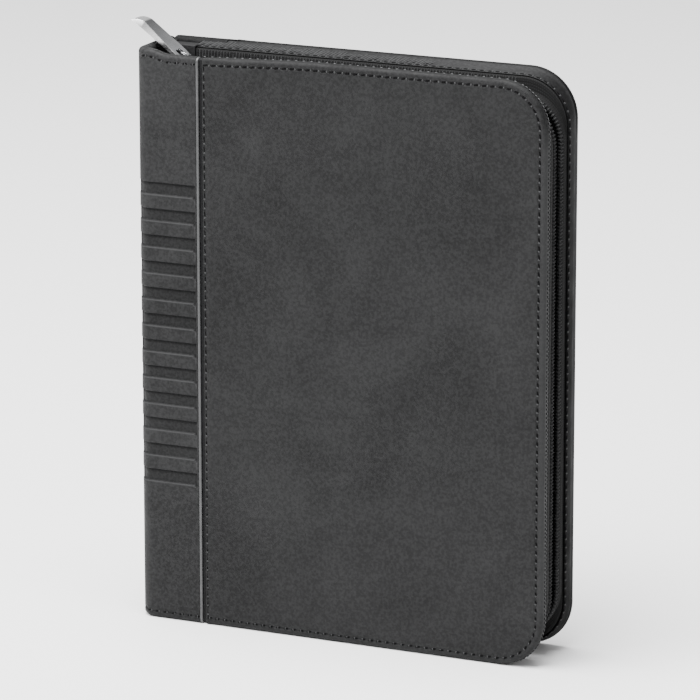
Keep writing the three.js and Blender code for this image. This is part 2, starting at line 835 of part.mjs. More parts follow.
function makePockets() {
  const left = skinStart + pocketMargin;
  const right = caseWidth - pocketMargin;
  const bottom = sagRecessEnds + tapeThickness + pocketTapeGap;
  const slip = slipPocketOutline(left, right, bottom, cardBottom(cardRows - 1) - slipPocketGap);
  addPiece('front_slip_pocket', slab('front', slip, innerFace, innerFace + pocketThickness), 'lining');
  const pad = padPocketOutline(left, right, bottom, bottom + padPocketHeight);
  addPiece('back_pad_pocket', slab('back', pad, innerFace, innerFace + pocketThickness), 'lining');
  const cardStart = skinStart + cardSideInset;
  for (let row = 0; row < cardRows; row += 1) {
    const top = cardTop(row);
    const outline = polygon([
      [cardStart, cardBottom(row)],
      [cardStart + cardWidth, cardBottom(row)],
      [cardStart + cardWidth, top],
      [cardStart, top],
    ]);
    const depth = innerFace + row * (pocketThickness + seat);
    addPiece(`card_pocket_${row + 1}`, slab('front', outline, depth, depth + pocketThickness), 'lining');
  }
}

// An elastic loop that stands on the back lining, seen along Z
function penLoop() {
  const right = caseWidth - penLoopInset;
  const left = right - penLoopWidth;
  const loop = new THREE.Shape();
  const radius = penLoopWidth / 2;
  const face = -innerFace;
  loop.moveTo(left, face);
  loop.lineTo(left, face - penLoopDepth + radius);
  loop.absarc(left + radius, face - penLoopDepth + radius, radius, Math.PI, 2 * Math.PI, false);
  loop.lineTo(right, face);
  const hole = new THREE.Path();
  hole.moveTo(left + penLoopWall, face - penLoopWall);
  hole.lineTo(right - penLoopWall, face - penLoopWall);
  hole.lineTo(right - penLoopWall, face - penLoopDepth + radius);
  hole.absarc(left + radius, face - penLoopDepth + radius, radius - penLoopWall, 0, -Math.PI, true);
  loop.holes.push(hole);
  const low = bottomOfLoop();
  return alongZ(loop, low, low + penLoopLength);
}

function bottomOfLoop() {
  return caseHeight - foreCornerRadius - penLoopLength;
}

makeCovers();
makeSpineLayers();
makeZip();
makeSlider();
makeMechanism();
makePockets();
addPiece('pen_loop', penLoop(), 'elastic');

export default organizer;
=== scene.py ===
"""Looks of a zip-round organizer clutch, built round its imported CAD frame.

Everything is in metres in the frame's axes: +X to the fore-edge, -Y to the front, +Z up.
"""
import math

import bmesh
import bpy
import numpy as np
from mathutils import Matrix, Vector


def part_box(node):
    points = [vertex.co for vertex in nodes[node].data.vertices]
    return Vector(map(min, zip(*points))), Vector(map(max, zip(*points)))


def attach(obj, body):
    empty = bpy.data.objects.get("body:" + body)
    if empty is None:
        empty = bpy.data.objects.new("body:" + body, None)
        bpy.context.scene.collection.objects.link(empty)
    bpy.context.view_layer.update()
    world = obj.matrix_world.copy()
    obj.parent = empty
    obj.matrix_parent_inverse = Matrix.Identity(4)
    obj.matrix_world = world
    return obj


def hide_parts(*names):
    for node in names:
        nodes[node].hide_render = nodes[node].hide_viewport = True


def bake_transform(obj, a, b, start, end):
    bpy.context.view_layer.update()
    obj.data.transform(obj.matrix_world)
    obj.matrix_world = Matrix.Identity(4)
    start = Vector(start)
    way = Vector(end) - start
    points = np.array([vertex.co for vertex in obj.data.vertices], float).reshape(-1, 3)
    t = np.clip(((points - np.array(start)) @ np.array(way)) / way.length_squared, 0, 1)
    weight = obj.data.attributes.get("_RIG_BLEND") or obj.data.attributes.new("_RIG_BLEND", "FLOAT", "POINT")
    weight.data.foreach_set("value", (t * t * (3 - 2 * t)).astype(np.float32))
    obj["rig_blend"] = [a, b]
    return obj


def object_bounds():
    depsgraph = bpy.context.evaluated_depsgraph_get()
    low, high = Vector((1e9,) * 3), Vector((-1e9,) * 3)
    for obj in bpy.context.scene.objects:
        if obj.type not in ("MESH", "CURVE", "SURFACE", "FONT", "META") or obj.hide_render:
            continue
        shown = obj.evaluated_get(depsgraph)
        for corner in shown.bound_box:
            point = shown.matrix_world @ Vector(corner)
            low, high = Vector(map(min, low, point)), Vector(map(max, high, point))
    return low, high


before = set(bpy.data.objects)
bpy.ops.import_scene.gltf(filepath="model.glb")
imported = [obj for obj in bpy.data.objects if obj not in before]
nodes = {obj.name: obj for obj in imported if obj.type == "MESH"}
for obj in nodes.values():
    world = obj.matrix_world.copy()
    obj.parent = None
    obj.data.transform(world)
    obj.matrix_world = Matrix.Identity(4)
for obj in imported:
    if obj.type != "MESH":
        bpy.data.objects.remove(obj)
cad_low, cad_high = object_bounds()

MM = 0.001

# Places read from the frame, with the wrap and the panels drawn together at the groove of the strip
WRAP_CUT = 0.35 * MM
PANEL_REACH = 0.85 * MM
SPINE_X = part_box("spine_skin")[0].x
FORE_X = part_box("front_cover_skin")[1].x
FRONT_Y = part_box("front_cover_skin")[0].y
BACK_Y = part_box("back_cover_skin")[1].y
MIDDLE_Y = (FRONT_Y + BACK_Y) / 2
TOP_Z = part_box("spine_skin")[1].z
WRAP_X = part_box("front_spine_wrap")[1].x - WRAP_CUT
PANEL_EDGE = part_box("front_cover_skin")[0].x - PANEL_REACH

# Sizes shared with the solids
FORE_RADIUS = 20 * MM
SPINE_RADIUS = 6 * MM
EDGE_ROLL = 1.8 * MM
BACK_ROLL = 1.2 * MM
SKIN = 1.5 * MM
COVER_DEPTH = 4.75 * MM
BACK_RIM = 2.8 * MM

# Debossed bars
BAR_COUNT = 12
BAR_PITCH = 11.0 * MM
BAR_HEIGHT = 5.2 * MM
BAR_MIDDLE = 2.2 * MM
BAR_DEPTH = 0.8 * MM
BAR_END_INSET = 0.7 * MM
BAR_FLARE = 1.3 * MM
BAR_SPAN = (BAR_COUNT - 1) * BAR_PITCH + BAR_HEIGHT

# Seams
STITCH_INSET = 2.9 * MM
GROOVE_HALF = 0.85 * MM
GROOVE_DEPTH = 0.34 * MM
STITCH_PITCH = 3.45 * MM
SIDE_STITCH_PITCH = 3.8 * MM
SIDE_STITCH_INSET = 1.0 * MM
THREAD_LEVEL = 0.17 * MM
BRIDGE_LEVEL = 0.24 * MM

# The dip in the front cover's upper edge: distances from the spine, and from the top down
EDGE_SAG = 1.9 * MM
SAG_START, SAG_RISE = 6 * MM, 9 * MM
SAG_END, SAG_FADE = 22 * MM, 62 * MM
SAG_REACH, SAG_REACH_FADE = 32 * MM, 29 * MM

# The middle of the case from the spine to the fore-edge, and the distances within which corners are merged
CASE_MIDDLE_X = 30 * MM
MERGE = 1e-7
SOLID_MERGE = 1e-6

# Steps along the edges
SIDE_STEPS = 46
CORNER_STEPS = 18
FORE_STEPS = 20
SPINE_SIDE_STEPS = 3
STRAIGHT_STEPS = 24
ROLL_STEPS = 8


# Meshes

def place_object(name, data):
    """A new object with the given data, linked to the scene."""
    made = bpy.data.objects.new(name, data)
    bpy.context.scene.collection.objects.link(made)
    return made


def smooth(mesh):
    mesh.polygons.foreach_set("use_smooth", [True] * len(mesh.polygons))


def add_mesh(name, verts, faces, finish, recalculate=False):
    """A smooth mesh object in the row frame, with its doubles merged."""
    mesh = bpy.data.meshes.new(name)
    mesh.from_pydata([tuple(v) for v in verts], [], faces)
    work = bmesh.new()
    work.from_mesh(mesh)
    bmesh.ops.remove_doubles(work, verts=work.verts, dist=MERGE)
    if recalculate:
        bmesh.ops.recalc_face_normals(work, faces=work.faces)
    work.to_mesh(mesh)
    work.free()
    smooth(mesh)
    mesh.materials.append(finish)
    mesh.validate()
    return place_object(name, mesh)


def apply_modifiers(piece):
    """Turns the evaluated object into its own plain mesh."""
    graph = bpy.context.evaluated_depsgraph_get()
    graph.update()
    made = bpy.data.meshes.new_from_object(piece.evaluated_get(graph), depsgraph=graph)
    piece.modifiers.clear()
    old = piece.data
    piece.data = made
    made.name = piece.name
    bpy.data.meshes.remove(old)
    return piece


def thicken(piece, thickness, offset):
    solid = piece.modifiers.new("solid", "SOLIDIFY")
    solid.thickness = thickness
    solid.offset = offset
    return apply_modifiers(piece)


def node_mesh(node, name, finish):
    """A copy of a solid's mesh with its doubles merged, in its own finish."""
    mesh = nodes[node].data.copy()
    mesh.name = name
    mesh.materials.clear()
    mesh.materials.append(finish)
    work = bmesh.new()
    work.from_mesh(mesh)
    bmesh.ops.remove_doubles(work, verts=work.verts, dist=SOLID_MERGE)
    return mesh, work


def points_of(piece):
    """The piece's vertices as rows of (x, y, z)."""
    return np.array([v.co for v in piece.data.vertices], float)


def paint_attribute(piece, name, values):
    """Stores one number for each vertex."""
    attribute = piece.data.attributes.new(name, "FLOAT", "POINT")
    attribute.data.foreach_set("value", np.asarray(values, np.float32))


def grid_faces(rows, columns, closed_columns=False):
    faces = []
    for i in range(rows - 1):
        for j in range(columns if closed_columns else columns - 1):
            k = (j + 1) % columns
            faces.append((i * columns + j, i * columns + k, (i + 1) * columns + k, (i + 1) * columns + j))
    return faces


def tube_faces(rows, columns):
    """The faces of a tube that is closed at both ends."""
    last = (rows - 1) * columns
    ends = [tuple(range(columns)), tuple(range(last, last + columns))[::-1]]
    return grid_faces(rows, columns, closed_columns=True) + ends


def fit_out(piece, body, slot, *replaced):
    """Gives a finished piece its body and hides the nodes that it stands for; the material slot is not used.
    """
    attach(piece, body)
    if replaced:
        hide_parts(*replaced)
    return piece


def smoothstep(t):
    t = np.clip(t, 0, 1)
    return t * t * (3 - 2 * t)


def quarter_turn(steps):
    """Angles from 0 to a right angle, in even steps."""
    return [(math.pi / 2) * i / steps for i in range(steps + 1)]


def between(first, last, steps):
    """Points on the straight line from one point to another, without its ends."""
    shares = [i / steps for i in range(1, steps)]
    return [(first[0] + (last[0] - first[0]) * s, first[1] + (last[1] - first[1]) * s) for s in shares]


def facing(side):
    """The place of one cover's outer face, and the direction in which it looks."""
    return (FRONT_Y, -1) if side == "front" else (BACK_Y, 1)


# Materials

def blank_material(name, colour, roughness, metallic=0.0, specular=0.5):
    """A material with its shader's fixed values set; returns it with its tree and shader."""
    finish = bpy.data.materials.new(name)
    finish.use_nodes = True
    tree = finish.node_tree
    shader = tree.nodes["Principled BSDF"]
    shader.inputs["Base Color"].default_value = (*colour, 1)
    shader.inputs["Roughness"].default_value = roughness
    shader.inputs["Metallic"].default_value = metallic
    shader.inputs["Specular IOR Level"].default_value = specular
    return finish, tree, shader


def add_node(tree, kind, values=None, **settings):
    made = tree.nodes.new(kind)
    for key, value in settings.items():
        setattr(made, key, value)
    for key, value in (values or {}).items():
        made.inputs[key].default_value = value
    return made


def object_place(tree, scale=(1, 1, 1)):
    source = add_node(tree, "ShaderNodeTexCoord")
    mapping = add_node(tree, "ShaderNodeMapping", {"Scale": scale})
    tree.links.new(source.outputs["Object"], mapping.inputs["Vector"])
    return mapping.outputs["Vector"]


def texture(tree, place, kind, output, values, **settings):
    """The given output of a texture that is read at a place."""
    made = add_node(tree, kind, values, **settings)
    tree.links.new(place, made.inputs["Vector"])
    return made.outputs[output]


def noise(tree, place, scale, detail=4.0, roughness=0.55, distortion=0.0):
    return texture(tree, place, "ShaderNodeTexNoise", "Fac", {
        "Scale": scale, "Detail": detail, "Roughness": roughness, "Distortion": distortion})


def cells(tree, place, scale):
    return texture(tree, place, "ShaderNodeTexVoronoi", "Distance", {"Scale": scale})


def bands(tree, place, scale, direction, distortion, detail=2.0, detail_scale=1.0):
    """Even bands of light and dark across one direction."""
    return texture(tree, place, "ShaderNodeTexWave", "Fac", {
        "Scale": scale, "Distortion": distortion, "Detail": detail, "Detail Scale": detail_scale},
        bands_direction=direction)


def combine(tree, operation, first, second):
    made = add_node(tree, "ShaderNodeMath", operation=operation)
    tree.links.new(first, made.inputs[0])
    tree.links.new(second, made.inputs[1])
    return made.outputs[0]


def painted(tree, name):
    """The share that a piece's attribute gives."""
    return add_node(tree, "ShaderNodeAttribute", attribute_name=name).outputs["Fac"]


def ramp(tree, factor, low, high, colour_low, colour_high):
    made = add_node(tree, "ShaderNodeValToRGB")
    for element, position, colour in zip(made.color_ramp.elements, (low, high), (colour_low, colour_high)):
        element.position = position
        element.color = (*colour, 1)
    tree.links.new(factor, made.inputs["Fac"])
    return made.outputs["Color"]


def remap(tree, factor, low, high, to_low, to_high):
    made = add_node(tree, "ShaderNodeMapRange", {
        "From Min": low, "From Max": high, "To Min": to_low, "To Max": to_high})
    tree.links.new(factor, made.inputs["Value"])
    return made.outputs["Result"]


def mix_colour(tree, factor, first, second):
    made = add_node(tree, "ShaderNodeMix", data_type="RGBA")
    for value, socket in ((factor, 0), (first, 6), (second, 7)):
        if hasattr(value, "is_linked"):
            tree.links.new(value, made.inputs[socket])
        elif socket == 0:
            made.inputs[0].default_value = value
        else:
            made.inputs[socket].default_value = (*value, 1)
    return made.outputs[2]


def bump(tree, height, distance, strength=1.0, under=None):
    made = add_node(tree, "ShaderNodeBump", {"Distance": distance, "Strength": strength})
    tree.links.new(height, made.inputs["Height"])
    if under is not None:
        tree.links.new(under, made.inputs["Normal"])
    return made.outputs["Normal"]


def set_look(tree, shader, tone, normal):
    tree.links.new(tone, shader.inputs["Base Color"])
    tree.links.new(normal, shader.inputs["Normal"])


LEATHER_DARK = (0.002, 0.00205, 0.0022)
LEATHER_LIGHT = (0.0172, 0.0174, 0.0178)
# The lighter tone that paints wear together with highlights on edges and lips
LEATHER_WEAR_AND_HIGHLIGHT = (0.027, 0.0273, 0.028)
# The dark tone and dull shine that paint shade where a piece asks for it
LEATHER_PAINTED_SHADE = (0.001, 0.001, 0.0011)
PAINTED_SHADE_SHINE = 0.02


def leatherette(name, dark=LEATHER_DARK, light=LEATHER_LIGHT, rubbed=LEATHER_WEAR_AND_HIGHLIGHT, shine=0.15):
    """Fine-grained leatherette with cloudy patches, lighter where a piece paints wear and highlight, and
    darker and duller where a piece paints shade.
    """
    finish, tree, shader = blank_material(name, light, 0.6, specular=shine)
    place = object_place(tree)
    clouds = noise(tree, place, 22, detail=6, roughness=0.58, distortion=0.8)
    patches = noise(tree, place, 110, detail=5, roughness=0.65)
    specks = noise(tree, place, 900, detail=2)
    tone = ramp(tree, clouds, 0.34, 0.66, dark, light)
    tone = mix_colour(tree, 0.4, tone, ramp(tree, patches, 0.3, 0.72, dark, light))
    tone = mix_colour(tree, 0.42, tone, ramp(tree, specks, 0.38, 0.62, dark, light))
    tone = mix_colour(tree, painted(tree, "rubbed"), tone, rubbed)
    sunk = painted(tree, "sunk")
    tone = mix_colour(tree, sunk, tone, LEATHER_PAINTED_SHADE)
    tree.links.new(remap(tree, sunk, 0, 1, shine, PAINTED_SHADE_SHINE), shader.inputs["Specular IOR Level"])
    tree.links.new(remap(tree, patches, 0.3, 0.7, 0.52, 0.7), shader.inputs["Roughness"])
    normal = bump(tree, noise(tree, place, 60, detail=3), 0.0006, 0.5)
    normal = bump(tree, cells(tree, place, 1300), 0.00009, 0.6, normal)
    normal = bump(tree, noise(tree, place, 2600, detail=2), 0.00004, 0.6, normal)
    set_look(tree, shader, tone, normal)
    return finish


def mottled(name, roughness, specular, dark, light, grain, relief):
    """Softly patched material; grain is (scale, detail) and relief is (scale, detail, height, strength)."""
    finish, tree, shader = blank_material(name, light, roughness, specular=specular)
    place = object_place(tree)
    tone = ramp(tree, noise(tree, place, grain[0], detail=grain[1]), 0.3, 0.7, dark, light)
    scale, detail, height, strength = relief
    set_look(tree, shader, tone, bump(tree, noise(tree, place, scale, detail=detail), height, strength))
    return finish


def thread(name, dark, light):
    """Twisted sewing thread."""
    finish, tree, shader = blank_material(name, light, 0.8, specular=0.06)
    twist = noise(tree, object_place(tree), 3500, detail=1)
    set_look(tree, shader, ramp(tree, twist, 0.35, 0.65, dark, light), bump(tree, twist, 0.00006, 0.8))
    return finish


def cloth(name, dark, light, ticks_along, ticks_across):
    """Woven tape: fine ticks across it, counted on the run of the band."""
    finish, tree, shader = blank_material(name, light, 0.85, specular=0.2)
    place = add_node(tree, "ShaderNodeUVMap", uv_map="run").outputs["UV"]
    ways = [bands(tree, place, scale, direction, 0.6, 1.0, 2.0)
            for scale, direction in ((ticks_along, "X"), (ticks_across, "Y"))]
    weave = combine(tree, "MULTIPLY", *ways)
    set_look(tree, shader, ramp(tree, weave, 0.05, 0.75, dark, light), bump(tree, weave, 0.00008, 1.0))
    return finish


def fabric(name, dark, light, scale=700):
    """Woven lining seen on flat faces: threads along X and Z of the row frame."""
    finish, tree, shader = blank_material(name, light, 0.8, specular=0.2)
    place = object_place(tree)
    weave = combine(tree, "MAXIMUM", *[bands(tree, place, scale, way, 0.8, 1.0, 3.0) for way in ("X", "Z")])
    clouds = noise(tree, place, 30, detail=4)
    tone = ramp(tree, weave, 0.2, 0.95, dark, light)
    tone = mix_colour(tree, remap(tree, clouds, 0.3, 0.7, 0.0, 0.35), tone, dark)
    set_look(tree, shader, tone, bump(tree, weave, 0.00012, 0.8))
    return finish


def elastic_web(name, dark, light):
    """Ribbed elastic, with its ribs running round the loop."""
    finish, tree, shader = blank_material(name, light, 0.8, specular=0.2)
    ribs = bands(tree, object_place(tree), 330, "Z", 0.2)
    set_look(tree, shader, ramp(tree, ribs, 0.2, 0.9, dark, light), bump(tree, ribs, 0.0002, 1.0))
    return finish


def plain_metal(name, colour, roughness, streaks):
    """Metal with faint brushed streaks and smudges."""
    finish, tree, shader = blank_material(name, colour, roughness, metallic=1.0)
    lines = noise(tree, object_place(tree, scale=(1, 1, 8)), streaks, detail=4)
    smudge = noise(tree, object_place(tree), 90, detail=3)
    rough = remap(tree, lines, 0.3, 0.7, roughness * 0.75, roughness * 1.3)
    spread = remap(tree, smudge, 0.35, 0.7, 0.85, 1.25)
    tree.links.new(combine(tree, "MULTIPLY", rough, spread), shader.inputs["Roughness"])
    tree.links.new(bump(tree, lines, 0.00002, 0.5), shader.inputs["Normal"])
    return finish


def creased_metal(name, flat, reflection_tone, crease):
    """Polished metal with a painted reflection on the parts that one attribute marks, and a painted shade
    along the crease that another marks.
    """
    finish = plain_metal(name, flat, 0.26, 260)
    tree = finish.node_tree
    tone = mix_colour(tree, painted(tree, "tip"), flat, reflection_tone)
    tone = mix_colour(tree, painted(tree, "crease"), tone, crease)
    tree.links.new(tone, tree.nodes["Principled BSDF"].inputs["Base Color"])
    return finish


CHARCOAL = (0.00492, 0.00492, 0.00533)
SLATE = (0.0164, 0.01656, 0.01706)
ASH_GREY = (0.01968, 0.01984, 0.02034)

leather = leatherette("leatherette")
leather_wrap = leatherette("leatherette_wrap", (0.0026, 0.00265, 0.0028), (0.0205, 0.0207, 0.0212))
# Lighter copies of the leatherette that paint highlights on raised ribs, ticks and the leather between
# stitches
leather_soft_highlight = leatherette("leatherette_rubbed", ASH_GREY, (0.03936, 0.03977, 0.04059))
leather_margin = leatherette("leatherette_margin", (0.0041, 0.0041, 0.00435), ASH_GREY, shine=0.14)
leather_highlight = leatherette("leatherette_bright", (0.022, 0.0222, 0.0227), (0.042, 0.0424, 0.0433))
# A darker copy of the leatherette that paints the shade in the groove beside the seam strip
leather_shaded = leatherette("leatherette_seam_bed", (0.00328, 0.00328, 0.00369), (0.00656, 0.00656, 0.00738),
                             (0.0082, 0.0082, 0.0082))
painted_edge = mottled("edge_paint", 0.42, 0.5, (0.027, 0.0273, 0.0278), (0.043, 0.0434, 0.0443),
                       (300, 3), (1500, 4, 0.00005, 0.6))
seam_thread = thread("seam_thread", (0.00123, 0.00123, 0.00131), (0.0041, 0.0041, 0.00435))
tape_cloth = cloth("tape_cloth", (0.0021, 0.0021, 0.0022), (0.0078, 0.0079, 0.0081), 330, 260)
lining_cloth = fabric("lining_cloth", CHARCOAL, SLATE)
pocket_cloth = fabric("pocket_cloth", (0.00656, 0.00656, 0.00697), (0.02132, 0.02148, 0.02198), scale=560)
loop_elastic = elastic_web("loop_elastic", (0.008, 0.008, 0.009), (0.03, 0.03, 0.031))
# The puller's light tone paints reflections on its sides and turned-down end, and its darkest tone paints
# shade along the crease
puller_metal = creased_metal("puller_metal", (0.42, 0.428, 0.442), (0.95, 0.95, 0.955), (0.04, 0.041, 0.043))
polished = plain_metal("polished_nickel", (0.6, 0.605, 0.615), 0.2, 260)
ring_nickel = plain_metal("ring_nickel", (0.46, 0.465, 0.475), 0.17, 200)
rail_satin = plain_metal("rail_satin", (0.38, 0.385, 0.395), 0.34, 500)
coil_plastic = mottled("coil_nylon", 0.6, 0.15, CHARCOAL, SLATE, (400, 3), (2500, 4, 0.00004, 0.6))
rim_thread = thread("rim_thread", (0.0492, 0.04961, 0.05084), (0.1066, 0.10742, 0.10988))
board_dark = mottled("greyboard", 0.9, 0.1, (0.018, 0.017, 0.015), (0.045, 0.042, 0.038),
                     (500, 5), (900, 3, 0.0001, 0.7))
hem_thread = thread("hem_thread", (0.0164, 0.0164, 0.01722), (0.041, 0.041, 0.04264))


# Covers

def let_sag(piece):
    """Lets the upper edge of the front cover hang a little beside the fold."""
    points = points_of(piece)
    along = points[:, 0] - SPINE_X
    hang = smoothstep((along - SAG_START) / SAG_RISE) * (1 - smoothstep((along - SAG_END) / SAG_FADE))
    points[:, 2] -= EDGE_SAG * hang * smoothstep((points[:, 2] - TOP_Z + SAG_REACH) / SAG_REACH_FADE)
    piece.data.vertices.foreach_set("co", points.astype(np.float32).ravel())
    piece.data.update()
    return piece


SPINE_SIDE_RADIUS = 0.8 * MM
SPINE_SIDE_ROLL = 0.5 * MM
SIDE_SHARE_END, SIDE_SHARE_WIDTH = 2.2 * MM, 1.4 * MM


def corner_points(centre_x, centre_z, radius_x, radius_z, start, steps):
    return [(centre_x + radius_x * math.cos(start + turn), centre_z + radius_z * math.sin(start + turn))
            for turn in quarter_turn(steps)]


def panel_ring(inset, side_inset):
    """A closed ring of (x, z) round a cover panel, set in from its outline."""
    ring = []
    for sign_x, sign_z, turn in ((-1, -1, 2), (1, -1, 3), (1, 1, 0), (-1, 1, 1)):
        if sign_x > 0:
            edge_x, radius, in_x, steps = FORE_X, FORE_RADIUS, inset, FORE_STEPS
        else:
            edge_x, radius, in_x, steps = PANEL_EDGE, SPINE_SIDE_RADIUS, side_inset, SPINE_SIDE_STEPS
        centre_x = edge_x - sign_x * max(radius, in_x)
        centre_z = sign_z * (TOP_Z - max(radius, inset))
        corner = corner_points(centre_x, centre_z, max(radius - in_x, 0), max(radius - inset, 0),
                               turn * math.pi / 2, steps)
        if ring:
            ring += between(ring[-1], corner[0], STRAIGHT_STEPS)
        ring += corner
    return ring + between(ring[-1], ring[0], STRAIGHT_STEPS)


def groove_rows(centre, half, depth, steps=6):
    """(inset, depth) across a sewn groove, from its inner to its outer side."""
    rows = []
    for i in range(steps + 1):
        across = 1 - 2 * i / steps
        rows.append((centre + half * across, depth * math.cos(across * math.pi / 2) ** 2))
    return rows


def panel_profile(full_depth, roll):
    """Rows of (inset, depth, side inset, side depth) from the middle of the face to the inside."""
    rows = [(9 * MM, 0, 8 * MM, 0), (5 * MM, 0, 4.2 * MM, 0)]
    grooves = zip(groove_rows(STITCH_INSET, GROOVE_HALF, GROOVE_DEPTH),
                  groove_rows(SIDE_STITCH_INSET, GROOVE_HALF * 0.5, GROOVE_DEPTH * 0.7))
    rows += [(*row, *side_row) for row, side_row in grooves]
    for angle in quarter_turn(ROLL_STEPS):
        across, down = 1 - math.sin(angle), 1 - math.cos(angle)
        rows.append((roll * across, roll * down, SPINE_SIDE_ROLL * across, SPINE_SIDE_ROLL * down))
    for angle in quarter_turn(ROLL_STEPS)[:-1]:
        rows.append((roll * (1 - math.cos(angle)), full_depth - roll + roll * math.sin(angle), 0, SKIN))
    rows.append((SKIN, full_depth, 0, SKIN))
    rows.append((SKIN, SKIN, 0, SKIN))
    return rows


def panel_inset(points):
    """How far each point is inside the case's rounded outline, seen from the front."""
    over_x = points[:, 0] - (FORE_X - FORE_RADIUS)
    over_z = np.abs(points[:, 2]) - (TOP_Z - FORE_RADIUS)
    corner = np.hypot(np.maximum(over_x, 0), np.maximum(over_z, 0))
    inside = np.minimum(np.maximum(over_x, over_z), 0)
    return FORE_RADIUS - corner - inside


def fore_share(points):
    """1 on the straight part of the fore-edge, 0 on the other edges."""
    beside = smoothstep((points[:, 0] - FORE_X + 9 * MM) / (5 * MM))
    return beside * (1 - smoothstep((np.abs(points[:, 2]) - TOP_Z + 26 * MM) / (10 * MM)))


def shade_panel(piece, side):
    """A darker outline of painted shade, and along the fore-edge a lighter edge that paints wear and
    highlight.
    """
    points = points_of(piece)
    inset = panel_inset(points)
    fore = fore_share(points)
    # Off the fore-edge the rim gets painted shade, faint on the front and strong on the back; on the
    # fore-edge it gets a lighter tone for wear and painted highlight, fading out towards the bottom on the
    # back
    if side == "front":
        dark = 0.12 * smoothstep((1.8 * MM - inset) / (1.4 * MM))
        light = 0.5 * smoothstep((3.2 * MM - inset) / (2.5 * MM))
    else:
        rim = smoothstep((1.0 * MM - inset) / (0.8 * MM))
        dark = 0.6 * rim
        light = rim * smoothstep((points[:, 2] + 100 * MM) / (60 * MM))
    paint_attribute(piece, "sunk", dark * (1 - fore))
    paint_attribute(piece, "rubbed", light * fore)


def cover_panel(side):
    """The leatherette panel of one cover: flat face, sewn groove, rolled edges and inner rim."""
    face_y, out = facing(side)
    verts = []
    rows = panel_profile(COVER_DEPTH, EDGE_ROLL) if side == "front" else panel_profile(BACK_RIM, BACK_ROLL)
    for inset, depth, side_inset, side_depth in rows:
        for x, z in panel_ring(inset, side_inset):
            on_side = min(1.0, max(0.0, (PANEL_EDGE + SIDE_SHARE_END - x) / SIDE_SHARE_WIDTH))
            level = depth + (side_depth - depth) * on_side
            verts.append((x, face_y - out * level, z))
    count = len(verts) // len(rows)
    faces = grid_faces(len(rows), count, closed_columns=True)
    faces.append(tuple(reversed(range(count))))
    faces.append(tuple(range(len(verts) - count, len(verts))))
    piece = add_mesh(f"{side}_panel", verts, faces, leather, recalculate=True)
    shade_panel(piece, side)
    if side == "front":
        let_sag(piece)
    fit_out(piece, f"{side}_cover", "leatherette", f"{side}_cover_skin")


cover_panel("front")
cover_panel("back")


# Spine wrap

FOLD_NOTCH = 1.1 * MM
FOLD_NOTCH_WIDTH = 1.3 * MM
NOTCH_REACH = 5 * MM
WRAP_THICKNESS = 0.6 * MM
WRAP_BACK_STEPS = 12
FOLD_STEPS = 14
FLAT_PLACES = (8, 10, 12, 14, 16, 18, 20, 22, 24, 25, 25.6, 26, 26.3, 26.6, 26.9, 27.1, 27.3)
BAR_ROWS = (-1.4, -1.0, -0.6, -0.35, -0.15, 0, 0.15, 0.35, 0.8, 2.4, 3.6, 4.1, 4.6, 4.85, 5.05, 5.2,
            5.35, 5.55)
PLAIN_ROWS = 23
PLAIN_PITCH = 10.3 * MM


def wrap_path(side, end_x):
    """Points (place, outward normal) across one half of the wrap, from the spine's middle."""
    face_y, sign = facing(side)
    turn_y = face_y - sign * SPINE_RADIUS
    path = []
    for i in range(WRAP_BACK_STEPS):
        y = MIDDLE_Y + (turn_y - MIDDLE_Y) * i / WRAP_BACK_STEPS
        path.append((SPINE_X, y, -1.0, 0.0))
    for angle in quarter_turn(FOLD_STEPS):
        back, out = math.cos(angle), sign * math.sin(angle)
        path.append((SPINE_X + SPINE_RADIUS * (1 - back), turn_y + SPINE_RADIUS * out, -back, out))
    for step in FLAT_PLACES:
        x = SPINE_X + step * MM
        if x < end_x:
            path.append((x, face_y, 0.0, float(sign)))
    path.append((end_x, face_y, 0.0, float(sign)))
    return path


def wrap_rows():
    """(z, depth) of each row from the lower inner edge over the outside to the upper inner edge."""
    outer = [(TOP_Z - inset, depth) for inset, depth in groove_rows(STITCH_INSET, GROOVE_HALF, GROOVE_DEPTH)]
    for angle in quarter_turn(ROLL_STEPS):
        outer.append((TOP_Z - EDGE_ROLL + EDGE_ROLL * math.sin(angle), EDGE_ROLL * (1 - math.cos(angle))))
    for angle in quarter_turn(6)[1:]:
        outer.append((TOP_Z - EDGE_ROLL * (1 - math.cos(angle)),
                      COVER_DEPTH - EDGE_ROLL + EDGE_ROLL * math.sin(angle)))
    outer.append((TOP_Z - 7 * MM, COVER_DEPTH))
    levels = {0.0}
    for i in range(PLAIN_ROWS):
        levels.add(round(-TOP_Z + EDGE_ROLL + (i + 0.5) * PLAIN_PITCH, 6))
    for i in range(BAR_COUNT):
        low = BAR_MIDDLE - BAR_SPAN / 2 + i * BAR_PITCH
        for offset in BAR_ROWS:
            levels.add(round(low + offset * MM, 6))
    middle_rows = [(z, 0.0) for z in sorted(levels) if abs(z) < TOP_Z - EDGE_ROLL - 0.1 * MM]
    return [(-z, depth) for z, depth in reversed(outer)] + middle_rows + outer


def bar_place(run, z):
    """Height above the lower edge of the nearest debossed bar, and the distance inside its outline."""
    place = (z - BAR_MIDDLE + BAR_SPAN / 2) % BAR_PITCH
    place = np.where(place > (BAR_PITCH + BAR_HEIGHT) / 2, place - BAR_PITCH, place)
    flare = np.maximum(0, BAR_FLARE - np.maximum(run - BAR_END_INSET, 0))
    inside = np.minimum(np.minimum(place + flare, BAR_HEIGHT - place), run - BAR_END_INSET)
    return place, np.where(np.abs(z - BAR_MIDDLE) > BAR_SPAN / 2 + 1 * MM, -1.0, inside)


def bar_depth(run, z):
    """Depth of the debossed bars at a distance along the wrap from its free edge and a height."""
    return BAR_DEPTH * float(smoothstep((bar_place(run, z)[1] + 0.16 * MM) / (0.42 * MM)))


